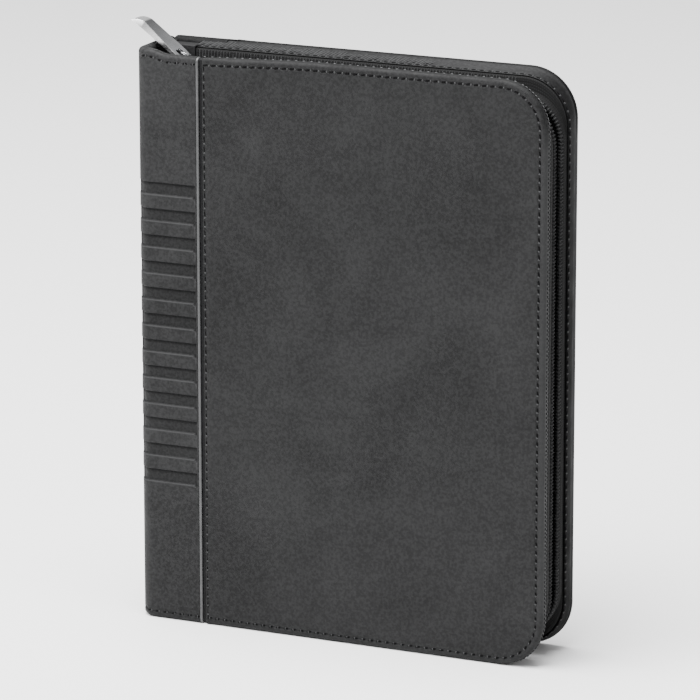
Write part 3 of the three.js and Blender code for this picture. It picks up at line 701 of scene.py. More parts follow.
def shade_bars(piece, face_y, rim_shade):
    """Painted shade on the bars' floors, darkest in their upper part under the top wall, painted shade on the
    rolled ends, and a painted highlight on the lip under each bar.
    """
    points = points_of(piece)
    on_face = np.abs(points[:, 1] - face_y) < 1.5 * MM
    run = np.where(on_face, WRAP_X - points[:, 0], 10 * MM)
    place, inside = bar_place(run, points[:, 2])
    floor = smoothstep((inside + 0.05 * MM) / (0.3 * MM))
    rim = smoothstep((np.abs(points[:, 2]) - TOP_Z + 1.8 * MM) / (1.4 * MM))
    upper = smoothstep((place - BAR_HEIGHT + 1.7 * MM) / (1.2 * MM))
    # Painted shade in the recesses and on the rolled ends
    paint_attribute(piece, "sunk", np.maximum(floor * (0.2 + 0.45 * upper), rim_shade * rim))
    # Painted highlight on the lower lip of each bar
    lip = smoothstep(1 - np.abs(inside + 0.25 * MM) / (0.4 * MM))
    paint_attribute(piece, "rubbed", lip * (place < BAR_HEIGHT / 2) * (run > BAR_END_INSET))


def bend_over_fold(piece, side):
    """Blends a piece over the fold between the spine and one cover."""
    face_y, sign = facing(side)
    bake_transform(piece, "spine", f"{side}_cover", (SPINE_X, face_y - sign * SPINE_RADIUS, 0),
             (SPINE_X + SPINE_RADIUS, face_y, 0))


def wrap_half(side, rim_shade):
    """Half of the wrap, from the middle of the spine to the seam on one cover."""
    path = wrap_path(side, WRAP_X)
    rows = wrap_rows()
    corner = path[WRAP_BACK_STEPS + FOLD_STEPS // 2]
    verts = []
    for z, depth in rows:
        for j, (x, y, nx, ny) in enumerate(path):
            run = WRAP_X - x if j > WRAP_BACK_STEPS else 1.0
            level = depth
            if depth < 0.4 * MM:
                level += bar_depth(run, z) * (1 - 0.8 * math.exp(-((nx * nx - 0.84) / 0.11) ** 2))
            away = math.hypot(x - corner[0], y - corner[1])
            notch = FOLD_NOTCH * math.exp(-(away / FOLD_NOTCH_WIDTH) ** 2)
            high = z - math.copysign(notch, z) if abs(z) > TOP_Z - NOTCH_REACH else z
            verts.append((x - nx * level, y - ny * level, high))
    faces = grid_faces(len(rows), len(path))
    if side == "back":
        faces = [tuple(reversed(f)) for f in faces]
    piece = thicken(add_mesh(f"{side}_wrap", verts, faces, leather_wrap), WRAP_THICKNESS, -1)
    shade_bars(piece, facing(side)[0], rim_shade)
    if side == "front":
        let_sag(piece)
    bend_over_fold(piece, side)
    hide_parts(f"{side}_spine_wrap", "spine_skin")


wrap_half("front", 0.15)
wrap_half("back", 0.6)


# Sweeps round the three open sides

def three_sides(start, bottom_start, inset_ends, inset_fore, drop=0.0):
    """(x, z) points from the start on the upper edge round the fore-edge to the lower edge."""
    radius = FORE_RADIUS - inset_fore
    centre_x = FORE_X - FORE_RADIUS
    centre_z = TOP_Z - inset_ends - drop - radius
    turns = quarter_turn(CORNER_STEPS)[:-1]
    points = []
    for i in range(SIDE_STEPS):
        points.append((start + (centre_x - start) * i / SIDE_STEPS, centre_z + radius))
    for angle in turns:
        points.append((centre_x + radius * math.sin(angle), centre_z + radius * math.cos(angle)))
    for i in range(SIDE_STEPS):
        points.append((centre_x + radius, centre_z - 2 * centre_z * i / SIDE_STEPS))
    for angle in turns:
        points.append((centre_x + radius * math.cos(angle), -centre_z - radius * math.sin(angle)))
    for i in range(SIDE_STEPS + 1):
        points.append((centre_x + (bottom_start - centre_x) * i / SIDE_STEPS, -centre_z - radius))
    return points


def run_lengths(points):
    steps = [math.dist(a, b) for a, b in zip(points, points[1:])]
    return np.concatenate([[0], np.cumsum(steps)])


def sweep(name, section, start, bottom_start, finish):
    """A closed band with one section all round: a loop of (y, end inset, side inset, drop)."""
    loops = [three_sides(start, bottom_start, ends, fore, drop) for _, ends, fore, drop in section]
    runs = run_lengths(loops[0])
    verts, coords = [], []
    across = run_lengths([(y, ends + drop) for y, ends, _, drop in section])
    for i, run in enumerate(runs):
        for (y, _, _, _), loop, over in zip(section, loops, across):
            x, z = loop[i]
            verts.append((x, y, z))
            coords.append((run, over))
    mesh = bpy.data.meshes.new(name)
    mesh.from_pydata(verts, [], tube_faces(len(runs), len(section)))
    layer = mesh.uv_layers.new(name="run")
    for loop in mesh.loops:
        layer.data[loop.index].uv = coords[loop.vertex_index]
    work = bmesh.new()
    work.from_mesh(mesh)
    bmesh.ops.recalc_face_normals(work, faces=work.faces)
    work.to_mesh(mesh)
    work.free()
    mesh.polygons.foreach_set("use_smooth", [len(p.vertices) == 4 for p in mesh.polygons])
    mesh.materials.append(finish)
    return place_object(name, mesh)


# Repeats along a path, made by one node tree

def repeat_tree():
    """A tree that sets copies of an item along a path at even steps, each standing on the path's up."""
    tree = bpy.data.node_groups.new("repeat_along_path", "GeometryNodeTree")
    face = tree.interface
    face.new_socket("Path", in_out="INPUT", socket_type="NodeSocketGeometry")
    for label, kind in (("Spacing", "Float"), ("Item", "Object"), ("Finish", "Material"),
                        ("Wobble", "Float"), ("Seed", "Int")):
        face.new_socket(label, in_out="INPUT", socket_type=f"NodeSocket{kind}")
    face.new_socket("Result", in_out="OUTPUT", socket_type="NodeSocketGeometry")
    put, link = tree.nodes.new, tree.links.new
    given, result = put("NodeGroupInput"), put("NodeGroupOutput")
    curve = put("GeometryNodeMeshToCurve")
    link(given.outputs["Path"], curve.inputs["Mesh"])
    even = put("GeometryNodeResampleCurve")
    even.mode = "LENGTH"
    link(curve.outputs[0], even.inputs["Curve"])
    link(given.outputs["Spacing"], even.inputs["Length"])
    tangent = put("GeometryNodeInputTangent")
    up = put("GeometryNodeInputNamedAttribute")
    up.data_type = "FLOAT_VECTOR"
    up.inputs["Name"].default_value = "up"
    axes = put("FunctionNodeAxesToRotation")
    axes.primary_axis = "Z"
    axes.secondary_axis = "X"
    link(up.outputs["Attribute"], axes.inputs["Primary Axis"])
    link(tangent.outputs[0], axes.inputs["Secondary Axis"])
    low, high = put("ShaderNodeVectorMath"), put("ShaderNodeVectorMath")
    for node, sign in ((low, -1), (high, 1)):
        node.operation = "SCALE"
        node.inputs[0].default_value = (sign, sign, sign)
        link(given.outputs["Wobble"], node.inputs["Scale"])
    chance = put("FunctionNodeRandomValue")
    chance.data_type = "FLOAT_VECTOR"
    link(low.outputs[0], chance.inputs[0])
    link(high.outputs[0], chance.inputs[1])
    link(given.outputs["Seed"], chance.inputs["Seed"])
    item = put("GeometryNodeObjectInfo")
    link(given.outputs["Item"], item.inputs["Object"])
    copies = put("GeometryNodeInstanceOnPoints")
    link(even.outputs[0], copies.inputs["Points"])
    link(item.outputs["Geometry"], copies.inputs["Instance"])
    link(axes.outputs[0], copies.inputs["Rotation"])
    turned = put("GeometryNodeRotateInstances")
    link(copies.outputs[0], turned.inputs["Instances"])
    link(chance.outputs[0], turned.inputs["Rotation"])
    real = put("GeometryNodeRealizeInstances")
    link(turned.outputs[0], real.inputs[0])
    coat = put("GeometryNodeSetMaterial")
    link(real.outputs[0], coat.inputs["Geometry"])
    link(given.outputs["Finish"], coat.inputs["Material"])
    link(coat.outputs[0], result.inputs[0])
    return tree


REPEAT = repeat_tree()


def socket_key(label):
    given = [s for s in REPEAT.interface.items_tree if s.in_out == "INPUT"]
    return next(s.identifier for s in given if s.name == label)


def repeat_item(item, path, spacing, finish, name, wobble, seed):
    """Copies of an item along a path of (place, up); the item's X runs along the path."""
    mesh = bpy.data.meshes.new(name)
    mesh.from_pydata([tuple(p) for p, _ in path], [(i, i + 1) for i in range(len(path) - 1)], [])
    ups = mesh.attributes.new("up", "FLOAT_VECTOR", "POINT")
    ups.data.foreach_set("vector", np.array([tuple(u) for _, u in path], np.float32).ravel())
    piece = place_object(name, mesh)
    repeat = piece.modifiers.new("repeat", "NODES")
    repeat.node_group = REPEAT
    for label, value in (("Spacing", spacing), ("Item", item), ("Finish", finish),
                         ("Wobble", wobble), ("Seed", seed)):
        repeat[socket_key(label)] = value
    apply_modifiers(piece)
    for attribute in [a for a in piece.data.attributes if a.name == "up"]:
        piece.data.attributes.remove(attribute)
    smooth(piece.data)
    return piece


GRAIN_SEGMENTS = 10
GRAIN_RINGS = 6


def seed_item(name, length, width, height, slant=0.0, power=2.6):
    """A small rounded grain, longest along X, for one stitch, ridge or tooth; the slant is in degrees."""
    work = bmesh.new()
    bmesh.ops.create_uvsphere(work, u_segments=GRAIN_SEGMENTS, v_segments=GRAIN_RINGS, radius=1.0)
    for v in work.verts:
        x, y, z = v.co
        scale = (abs(x) ** power + abs(y) ** power + abs(z) ** power) ** (1 / power)
        v.co = Vector((x * length / 2, y * width / 2, z * height / 2)) / max(scale, 1e-6)
    turn = Matrix.Rotation(math.radians(slant), 3, "Z")
    bmesh.ops.rotate(work, verts=work.verts, cent=(0, 0, 0), matrix=turn)
    mesh = bpy.data.meshes.new(name)
    work.to_mesh(mesh)
    work.free()
    return place_object(name, mesh)


def drop_items(*items):
    for item in items:
        mesh = item.data
        bpy.data.objects.remove(item)
        bpy.data.meshes.remove(mesh)


def rounded_path(inset, level_y, up_y, start, bottom_start):
    return [(Vector((x, level_y, z)), Vector((0, up_y, 0)))
            for x, z in three_sides(start, bottom_start, inset, inset)]


def facing_out(points, y):
    """A path through (x, z) points at one depth, with the up direction facing away from the case."""
    places = np.array(points)
    along = np.gradient(places, axis=0)
    path = []
    for (x, z), (dx, dz) in zip(points, along):
        up = Vector((-dz, 0, dx)).normalized()
        inward = up.dot(Vector((x - CASE_MIDDLE_X, 0, z))) < 0
        path.append((Vector((x, y, z)), -up if inward else up))
    return path


def leaning(path, lean_y):
    """The same path, with its up directions leaning to the front or the back."""
    return [(place, (up + Vector((0, lean_y * abs(up.z), 0))).normalized()) for place, up in path]


def shifted(path, distance):
    """The same path, started a little further on."""
    places = np.array([tuple(p) for p, _ in path])
    runs = run_lengths(places)
    start = int(np.searchsorted(runs, distance))
    share = (distance - runs[start - 1]) / (runs[start] - runs[start - 1])
    first = path[start - 1][0].lerp(path[start][0], share)
    return [(first, path[start][1])] + path[start:]


def refined(corners, steps):
    """The corners of a line, with even steps between them."""
    fine = []
    for (x, y), (next_x, next_y) in zip(corners, corners[1:]):
        for share in np.linspace(0, 1, steps, endpoint=False):
            fine.append((x + (next_x - x) * share, y + (next_y - y) * share))
    return fine + [corners[-1]]


def join(pieces, name):
    """One object from several plain ones."""
    first = pieces[0]
    with bpy.context.temp_override(active_object=first, object=first, selected_objects=pieces,
                                   selected_editable_objects=pieces):
        bpy.ops.object.join()
    first.name = name
    first.data.name = name
    return first


# Sewn seams of the covers and the wrap

stitch_grain = seed_item("stitch_grain", 2.1 * MM, 0.7 * MM, 0.5 * MM, slant=12)
bridge_grain = seed_item("bridge_grain", 0.85 * MM, 1.0 * MM, 0.66 * MM)
side_stitch_grain = seed_item("side_stitch_grain", 2.5 * MM, 0.6 * MM, 0.4 * MM, slant=20)

SEAM_START = 1.7 * MM
COLUMN_END = TOP_Z - 4.5 * MM
COLUMN_STEPS = 60
WRAP_SEAM_END = 1.2 * MM
BRIDGE_WOBBLE = 0.08


def sew(grain, low_path, path, pitch, bridge_finish, name, wobble, seeds):
    """A run of stitches, and the leather that stands up between them."""
    stitches = repeat_item(grain, low_path, pitch, seam_thread, f"{name}_stitches", wobble, seeds[0])
    # The bridges' lighter finish paints their highlight
    bridges = repeat_item(bridge_grain, shifted(path, pitch / 2), pitch, bridge_finish,
                          f"{name}_stitch_bridges", BRIDGE_WOBBLE, seeds[1])
    return stitches, bridges


def sew_cover(side):
    """Stitches round one cover and up beside the strip."""
    face_y, out = facing(side)
    level, low_level = face_y - out * BRIDGE_LEVEL, face_y - out * THREAD_LEVEL
    start = PANEL_EDGE + SEAM_START
    low_path, path = (rounded_path(STITCH_INSET, y, out, start, start) for y in (low_level, level))
    column = [(Vector((PANEL_EDGE + SIDE_STITCH_INSET, low_level, z)), Vector((0, out, 0)))
              for z in np.linspace(COLUMN_END, -COLUMN_END, COLUMN_STEPS)]
    round_seam = sew(stitch_grain, low_path, path, STITCH_PITCH, leather_highlight, side, 0.06, (3, 7))
    side_seam = sew(side_stitch_grain, column, column, SIDE_STITCH_PITCH, leather_soft_highlight, f"{side}_side",
                    0.05, (5, 9))
    for pieces, name in zip(zip(round_seam, side_seam), ("stitches", "stitch_bridges")):
        sewn = join(list(pieces), f"{side}_{name}")
        if side == "front":
            let_sag(sewn)
        fit_out(sewn, f"{side}_cover", "leatherette")


def sew_wrap(side):
    """Stitches along the two ends of the wrap, bent with it over the fold."""
    pieces = []
    for end in (-1, 1):
        height = end * (TOP_Z - STITCH_INSET)
        low_run, run = ([(Vector((x - nx * low, y - ny * low, height)), Vector((nx, ny, 0)))
                         for x, y, nx, ny in wrap_path(side, WRAP_X - WRAP_SEAM_END)]
                        for low in (THREAD_LEVEL, BRIDGE_LEVEL))
        pieces += sew(stitch_grain, low_run, run, STITCH_PITCH, leather_highlight, f"{side}_wrap_{end}",
                      0.06, (11, 13))
    piece = join(pieces, f"{side}_wrap_stitches")
    if side == "front":
        let_sag(piece)
    bend_over_fold(piece, side)


for cover_side in ("front", "back"):
    sew_cover(cover_side)
    sew_wrap(cover_side)


# The seam strip, and the bed of the groove beside it in a dark copy of the leather that paints the groove's
# shade

STRIP_HALF = 0.58 * MM
STRIP_SECTION = [(-STRIP_HALF, 0.9 * MM), (-STRIP_HALF, 0.03 * MM), (-0.3 * MM, 0.0), (0.25 * MM, 0.0),
                 (STRIP_HALF - 0.1 * MM, 0.1 * MM), (STRIP_HALF, 0.3 * MM), (STRIP_HALF, 0.9 * MM)]
STRIP_SINK, STRIP_END_SINK = 0.06 * MM, 0.12 * MM
STRIP_STEPS = 30
BED_HALF = 2.4 * MM
BED_SECTION = [(-BED_HALF, 0.5 * MM), (-BED_HALF, 0.0), (BED_HALF, 0.0), (BED_HALF, 0.5 * MM)]
BED_SINK = 1.0 * MM
BED_END_SINK = {"front": 0.5 * MM, "back": 0.04 * MM}


def seam_sweep(side, name, middle_x, section, sink, end_sink, finish, over_ends=True):
    """A narrow strip up one cover, and over both of its ends; the section is a loop of (x, depth)."""
    face_y, sign = facing(side)
    depth_end, roll = (COVER_DEPTH, EDGE_ROLL) if side == "front" else (BACK_RIM, BACK_ROLL)
    over = [(TOP_Z - roll + roll * math.sin(a), roll * (1 - math.cos(a)), math.sin(a), math.cos(a))
            for a in quarter_turn(ROLL_STEPS)]
    over.append((TOP_Z, depth_end - roll, 1.0, 0.0))
    body_end = TOP_Z - roll - 1 * MM
    line = [(z, 0.0, 0.0, 1.0) for z in np.linspace(-body_end, body_end, STRIP_STEPS)]
    if over_ends:
        line = [(-z, depth, -up, out) for z, depth, up, out in reversed(over)] + line + over
    verts = []
    for z, depth, up, out in line:
        for x, low in section:
            level = low + sink + (end_sink - sink) * up * up
            verts.append((middle_x + x, face_y - sign * (depth + level * out), z - level * up))
    piece = add_mesh(name, verts, tube_faces(len(line), len(section)), finish, recalculate=True)
    return let_sag(piece) if side == "front" else piece


for cover_side in ("front", "back"):
    strip = seam_sweep(cover_side, f"{cover_side}_strip", WRAP_X + STRIP_HALF, STRIP_SECTION, STRIP_SINK,
                       STRIP_END_SINK, painted_edge, over_ends=cover_side == "front")
    # The bed's dark copy of the leather paints the shade in the groove
    bed = seam_sweep(cover_side, f"{cover_side}_seam_bed", (WRAP_X + PANEL_EDGE) / 2, BED_SECTION, BED_SINK,
                     BED_END_SINK[cover_side], leather_shaded)
    fit_out(strip, f"{cover_side}_cover", "seam_strip", f"{cover_side}_seam_strip")
    fit_out(bed, f"{cover_side}_cover", "leatherette")


# Zip

margin_low, margin_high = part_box("back_edge_margin")
tape_low, tape_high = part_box("back_zip_tape")
front_tape_low, front_tape_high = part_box("front_zip_tape")
MARGIN_ENDS = TOP_Z - margin_high.z
MARGIN_FORE = FORE_X - margin_high.x
MARGIN_START = margin_low.x
MARGIN_LOW, MARGIN_HIGH = margin_low.y, margin_high.y
TAPE_ENDS = TOP_Z - tape_high.z
TAPE_FORE = FORE_X - tape_high.x
TAPE_LOW, TAPE_HIGH = tape_low.y, tape_high.y
FRONT_TAPE_LOW, FRONT_TAPE_HIGH = front_tape_low.y, front_tape_high.y
BOTTOM_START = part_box("front_bottom_stop")[0].x
SAG = TOP_Z - front_tape_high.z - TAPE_ENDS
CLOTH = 0.6 * MM
CORE_RADIUS = 0.62 * MM
TOOTH_PITCH = 1.45 * MM
STOP_LENGTH = 2.7 * MM
RIB_PITCH = 1.5 * MM
RIB_STEPS = 34
TICK_PITCH = 1.35 * MM


def shade_margin(piece):
    """Painted shade: darker towards the lower corner, and towards the tape along the fore-edge."""
    points = points_of(piece)
    lower = 0.35 * (1 - smoothstep((points[:, 2] - 10 * MM) / (95 * MM)))
    lowest = 0.45 * (1 - smoothstep((points[:, 2] + 110 * MM) / (60 * MM)))
    deep = smoothstep((-3 * MM - points[:, 1]) / (2.5 * MM))
    deeper = 0.55 * deep * smoothstep((points[:, 0] - FORE_X + 22 * MM) / (18 * MM))
    # The gradient paints shade from the light above
    paint_attribute(piece, "sunk", np.minimum(lower + lowest + deeper, 0.95))


def make_margin():
    """The band of leather inside the back cover's rim, curved down from the rim to the tape."""
    e, f = MARGIN_ENDS, MARGIN_FORE
    inner = f + 0.7 * MM
    section = [(-2.3 * MM, 0.75 * MM, f + 0.5 * MM), (-2.5 * MM, 0.45 * MM, f + 0.25 * MM),
               (-2.9 * MM, 0.4 * MM, f), (-3.6 * MM, 0.65 * MM, f), (MARGIN_HIGH, 1.25 * MM, f),
               (MARGIN_HIGH - 2 * MM, e - 0.1 * MM, f), (MARGIN_LOW + 0.5 * MM, e + 0.3 * MM, f + 0.1 * MM),
               (MARGIN_LOW, e + 0.5 * MM, f + 0.3 * MM), (MARGIN_LOW, e + 0.75 * MM, f + 0.65 * MM),
               (MARGIN_LOW + 0.4 * MM, e + 0.8 * MM, inner), (MARGIN_HIGH - 2 * MM, e + 0.5 * MM, inner),
               (MARGIN_HIGH, e - 0.2 * MM, inner), (-3.6 * MM, 1.2 * MM, inner), (-2.6 * MM, 1.0 * MM, inner)]
    piece = sweep("edge_margin", [(y, ends, fore, 0) for y, ends, fore in section],
                  MARGIN_START, MARGIN_START, leather_margin)
    shade_margin(piece)
    fit_out(piece, "back_cover", "leatherette", "back_edge_margin")


def make_tapes():
    """The back tape, folded down behind the margin, and the straight front tape."""
    e, f = TAPE_ENDS, TAPE_FORE
    inner_e, inner_f = e + CLOTH, f + CLOTH
    fold = MARGIN_LOW - 0.7 * MM
    outer = [(TAPE_HIGH, e, f, 0), (fold + 0.9 * MM, e, f, 0), (fold + 0.25 * MM, e + 0.1 * MM, f, 0.2 * MM),
             (fold, e + 0.1 * MM, f, 1.0 * MM), (fold, e, f, SAG - 0.9 * MM),
             (fold - 0.3 * MM, e, f, SAG - 0.15 * MM), (fold - 1.0 * MM, e, f, SAG), (TAPE_LOW, e, f, SAG)]
    inner = [(y, inner_e, inner_f, drop) for y, drop in (
        (TAPE_LOW, SAG), (fold - 0.6 * MM, SAG), (fold + CLOTH, SAG - 0.9 * MM),
        (fold + CLOTH, 0.6 * MM), (fold + 1.1 * MM, 0), (TAPE_HIGH, 0))]
    back = sweep("back_tape", outer + inner, tape_low.x, BOTTOM_START, tape_cloth)
    fit_out(back, "back_cover", "zip_tape", "back_zip_tape")
    edge = FRONT_TAPE_HIGH - 0.2 * MM
    section = [(FRONT_TAPE_LOW, e, f, SAG), (edge, e, f, SAG),
               (FRONT_TAPE_HIGH, e + CLOTH / 2, f + CLOTH / 2, SAG), (edge, inner_e, inner_f, SAG),
               (FRONT_TAPE_LOW, inner_e, inner_f, SAG)]
    front = sweep("front_tape", section, front_tape_low.x, BOTTOM_START, tape_cloth)
    fit_out(front, "front_cover", "zip_tape", "front_zip_tape")


def make_coil(side):
    """A zip coil: a cord core with a round tooth at each turn."""
    low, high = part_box(f"{side}_zip_coil")
    y = (low.y + high.y) / 2
    start = low.x
    bottom = BOTTOM_START + STOP_LENGTH
    ends, fore = TAPE_ENDS + CLOTH / 2, TAPE_FORE + CLOTH / 2
    core = []
    for a in np.arange(8) * math.pi / 4:
        rise = CORE_RADIUS * math.sin(a)
        core.append((y + CORE_RADIUS * math.cos(a), ends - rise, fore - rise, SAG))
    body = sweep(f"{side}_coil_core", core, start, bottom, coil_plastic)
    path = facing_out(three_sides(start + 0.5 * MM, bottom + 0.5 * MM, ends, fore, SAG), y)
    teeth = repeat_item(coil_tooth, path, TOOTH_PITCH, coil_plastic, f"{side}_coil_teeth", 0.04, 17)
    fit_out(join([body, teeth], f"{side}_coil"), f"{side}_cover", "zip_coil", f"{side}_zip_coil")


def margin_path(y, inset_ends, lean):
    """A path on the margin, with the up direction facing outwards and leaning to the front."""
    start = MARGIN_START + 0.3 * MM
    return leaning(facing_out(three_sides(start, start, inset_ends, MARGIN_FORE), y), -lean)


def make_ribs():
    """Slanted ribs on the margin along the two ends of the case."""
    path = margin_path(-5.7 * MM, 1.5 * MM, 0.28)
    for part, run in enumerate((path[:RIB_STEPS], path[-RIB_STEPS:])):
        # The ribs' lighter finish paints their highlight
        ribs = repeat_item(margin_rib, run, RIB_PITCH, leather_soft_highlight, f"margin_ribs_{part}", 0.12, 19 + part)
        fit_out(ribs, "back_cover", "leatherette")


def make_ticks():
    """Fine ticks across the face of the back tape, along the two ends of the case."""
    level = TAPE_ENDS + SAG / 2
    points = three_sides(MARGIN_START, MARGIN_START, level, level)
    path = [(place, Vector((0, -1, 0))) for place, _ in facing_out(points, MARGIN_LOW - 0.72 * MM)]
    # The ticks' lighter finish paints their highlight
    ticks = [repeat_item(tape_tick, run, TICK_PITCH, leather_soft_highlight, "tape_ticks", 0.1, 27)
             for run in (path[:SIDE_STEPS], path[-SIDE_STEPS:])]
    fit_out(join(ticks, "tape_ticks"), "back_cover", "zip_tape")


def sew_margin():
    path = margin_path(MARGIN_LOW + 0.6 * MM, MARGIN_ENDS + 0.3 * MM, 0.2)
    for piece in sew(tiny_stitch, path, path, STITCH_PITCH, leather_soft_highlight, "margin", 0.05, (23, 31)):
        fit_out(piece, "back_cover", "leatherette")


RIM_ROWS = ((2.45 * MM, 0.0, seam_thread), (3.3 * MM, 0.02 * MM, rim_thread))
RIM_PITCH, RIM_FORE_PITCH = 3.3 * MM, 1.7 * MM
RIM_END_STEPS = SIDE_STEPS + 6
RIM_LEAN = Vector((0, 0.2, 0))


def sew_rim():
    """Two rows of stitches on the front cover's rim, closer together along the fore-edge."""
    pieces = []
    for depth, inset, finish in RIM_ROWS:
        points = three_sides(PANEL_EDGE, PANEL_EDGE, inset, inset)
        path = [(place, (up + RIM_LEAN).normalized()) for place, up in facing_out(points, FRONT_Y + depth)]
        parts = (path[:RIM_END_STEPS], path[RIM_END_STEPS:-RIM_END_STEPS], path[-RIM_END_STEPS:])
        for i, (part, pitch) in enumerate(zip(parts, (RIM_PITCH, RIM_FORE_PITCH, RIM_PITCH))):
            if finish is rim_thread or i == 1:
                pieces.append(repeat_item(rim_dot, part, pitch, finish, f"rim_stitches_{i}", 0.06, 37 + i))
    fit_out(let_sag(join(pieces, "rim_stitches")), "front_cover", "leatherette")


coil_tooth = seed_item("coil_tooth", 0.95 * MM, 2.15 * MM, 2.1 * MM, slant=12, power=2.2)
margin_rib = seed_item("margin_rib", 0.6 * MM, 5.2 * MM, 0.42 * MM, slant=-24, power=3)
tiny_stitch = seed_item("tiny_stitch", 2.0 * MM, 0.75 * MM, 0.5 * MM)
tape_tick = seed_item("tape_tick", 0.5 * MM, 4.7 * MM, 0.3 * MM, power=3)
rim_dot = seed_item("rim_dot", 1.1 * MM, 0.6 * MM, 0.45 * MM)

make_margin()
make_tapes()
make_coil("front")
make_coil("back")
make_ribs()
make_ticks()
sew_margin()
sew_rim()


# Bevelled copies of solids whose edges only need softening

def softened(node, name, finish, radius, segments=3, angle=35, smooth_angle=50):
    """A copy of a solid with clean flat faces and rounded edges; the angles are in degrees."""
    mesh, work = node_mesh(node, name, finish)
    bmesh.ops.dissolve_limit(work, angle_limit=math.radians(1.5), verts=work.verts, edges=work.edges)
    work.to_mesh(mesh)
    work.free()
    piece = place_object(name, mesh)
    bevel = piece.modifiers.new("bevel", "BEVEL")
    bevel.width = radius
    bevel.segments = segments
    bevel.limit_method = "ANGLE"
    bevel.angle_limit = math.radians(angle)
    bevel.use_clamp_overlap = True
    apply_modifiers(piece)
    smooth(piece.data)
    piece.data.set_sharp_from_angle(angle=math.radians(smooth_angle))
    return piece


for end_name in ("upper", "lower"):
    tab = softened(f"{end_name}_zip_end_tab", f"{end_name}_tab", leather_margin, 0.32 * MM)
    fit_out(tab, "back_cover", "leatherette", f"{end_name}_zip_end_tab")
for stop_node, stop_body in (("front_top_stop", "front_cover"), ("front_bottom_stop", "front_cover"),
                             ("back_bottom_stop", "back_cover")):
    stop = softened(stop_node, f"{stop_node}_metal", polished, 0.35 * MM)
    fit_out(stop, stop_body, "zip_metal", stop_node)
fit_out(softened("zip_slider", "slider", polished, 0.22 * MM), "zip_slider", "zip_metal", "zip_slider")


PULLER_CREASE = 20.6 * MM
CREASE_WIDTH = 0.5 * MM
PIVOT_DROP = 1.6 * MM


def make_puller():
    """The flat puller, with painted reflections brightening its sides and the end turned down past the
    crease, and painted shade along the crease.
    """
    piece = softened("zip_puller", "puller", puller_metal, 0.14 * MM, segments=2, angle=50, smooth_angle=13)
    low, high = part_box("zip_slider")
    pivot = np.array([(low.x + high.x) / 2, (low.y + high.y) / 2, high.z - PIVOT_DROP])
    points = points_of(piece) - pivot
    far = points[np.argmax(np.linalg.norm(points, axis=1))] * (1, 0, 1)
    along = points @ (far / np.linalg.norm(far))
    across = np.abs(np.array([v.normal for v in piece.data.vertices], float)[:, 1])
    # Painted reflection on the sides and the turned-down end, and painted shade along the crease
    paint_attribute(piece, "tip", np.maximum(smoothstep((along - PULLER_CREASE) / CREASE_WIDTH), across))
    paint_attribute(piece, "crease", np.maximum(0, 1 - np.abs(along - PULLER_CREASE) / CREASE_WIDTH))
    fit_out(piece, "zip_puller", "zip_metal", "zip_puller")


make_puller()


# Inside: linings, pockets and boards keep their solids' shapes

def coat(node, finish):
    nodes[node].data.materials.clear()
    nodes[node].data.materials.append(finish)


for node in ("back_cover_board", "spine_board"):
    coat(node, board_dark)
for node in ("back_cover_lining", "spine_lining"):
    coat(node, lining_cloth)


def sagging_copy(node, name, finish):
    """A copy of a solid of the front cover, cut into short lengths so that it can hang with its edge."""
    mesh, work = node_mesh(node, name, finish)
    cuts = [((x, 0, 0), (1, 0, 0)) for x in np.arange(SPINE_X + 8 * MM, SPINE_X + 88 * MM, 5 * MM)]
    cuts += [((0, 0, TOP_Z - depth * MM), (0, 0, 1)) for depth in (32, 20, 10)]
    for place, across in cuts:
        bmesh.ops.bisect_plane(work, geom=work.verts[:] + work.edges[:] + work.faces[:],
                               plane_co=place, plane_no=across)
    work.to_mesh(mesh)
    work.free()
    return let_sag(place_object(name, mesh))


for part, slot_name, finish in (("board", "board", board_dark), ("lining", "lining", lining_cloth)):
    piece = sagging_copy(f"front_cover_{part}", f"front_{part}", finish)
    fit_out(piece, "front_cover", slot_name, f"front_cover_{part}")

POCKETS = {"front_slip_pocket": "front_cover", "card_pocket_1": "front_cover",
           "card_pocket_2": "front_cover", "card_pocket_3": "front_cover", "back_pad_pocket": "back_cover"}
for node, body in POCKETS.items():
    fit_out(softened(node, f"{node}_cloth", pocket_cloth, 0.3 * MM), body, "lining", node)
fit_out(softened("pen_loop", "pen_loop_web", loop_elastic, 0.25 * MM, segments=2, smooth_angle=40),
        "back_cover", "elastic", "pen_loop")


HEM = 2.5 * MM
HEM_LIFT = 0.05 * MM
HEM_PITCH = 3 * MM
HEM_STEPS = 12
OPEN_SIDE = 14 * MM
PAD_SLANT = 46 * MM


def hem(name, corners, face_y, out, body):
    """A line of stitches along an edge of a pocket."""
    path = [(Vector((x, face_y, z)), Vector((0, out, 0))) for x, z in refined(corners, HEM_STEPS)]
    fit_out(repeat_item(tiny_stitch, path, HEM_PITCH, hem_thread, name, 0.04, 29), body, "lining")


def pocket_edges(node):
    """A pocket's box, drawn in by the width of its hem: left, right, bottom and top."""
    low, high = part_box(node)
    return low.x + HEM, high.x - HEM, low.z + HEM, high.z - HEM


for row in (1, 2, 3):
    left, right, bottom, top = pocket_edges(f"card_pocket_{row}")
    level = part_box(f"card_pocket_{row}")[1].y + HEM_LIFT
    hem(f"card_hem_{row}", [(left, top), (right, top)], level, 1, "front_cover")
hem("card_sides", [(left, top), (left, bottom), (right, bottom), (right, top)], level, 1, "front_cover")

left, right, bottom, top = pocket_edges("front_slip_pocket")
slip_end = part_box("front_slip_pocket")[1].x - OPEN_SIDE
hem("slip_hem", [(left, top), (left, bottom), (slip_end, bottom)],
    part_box("front_slip_pocket")[1].y + HEM_LIFT, 1, "front_cover")

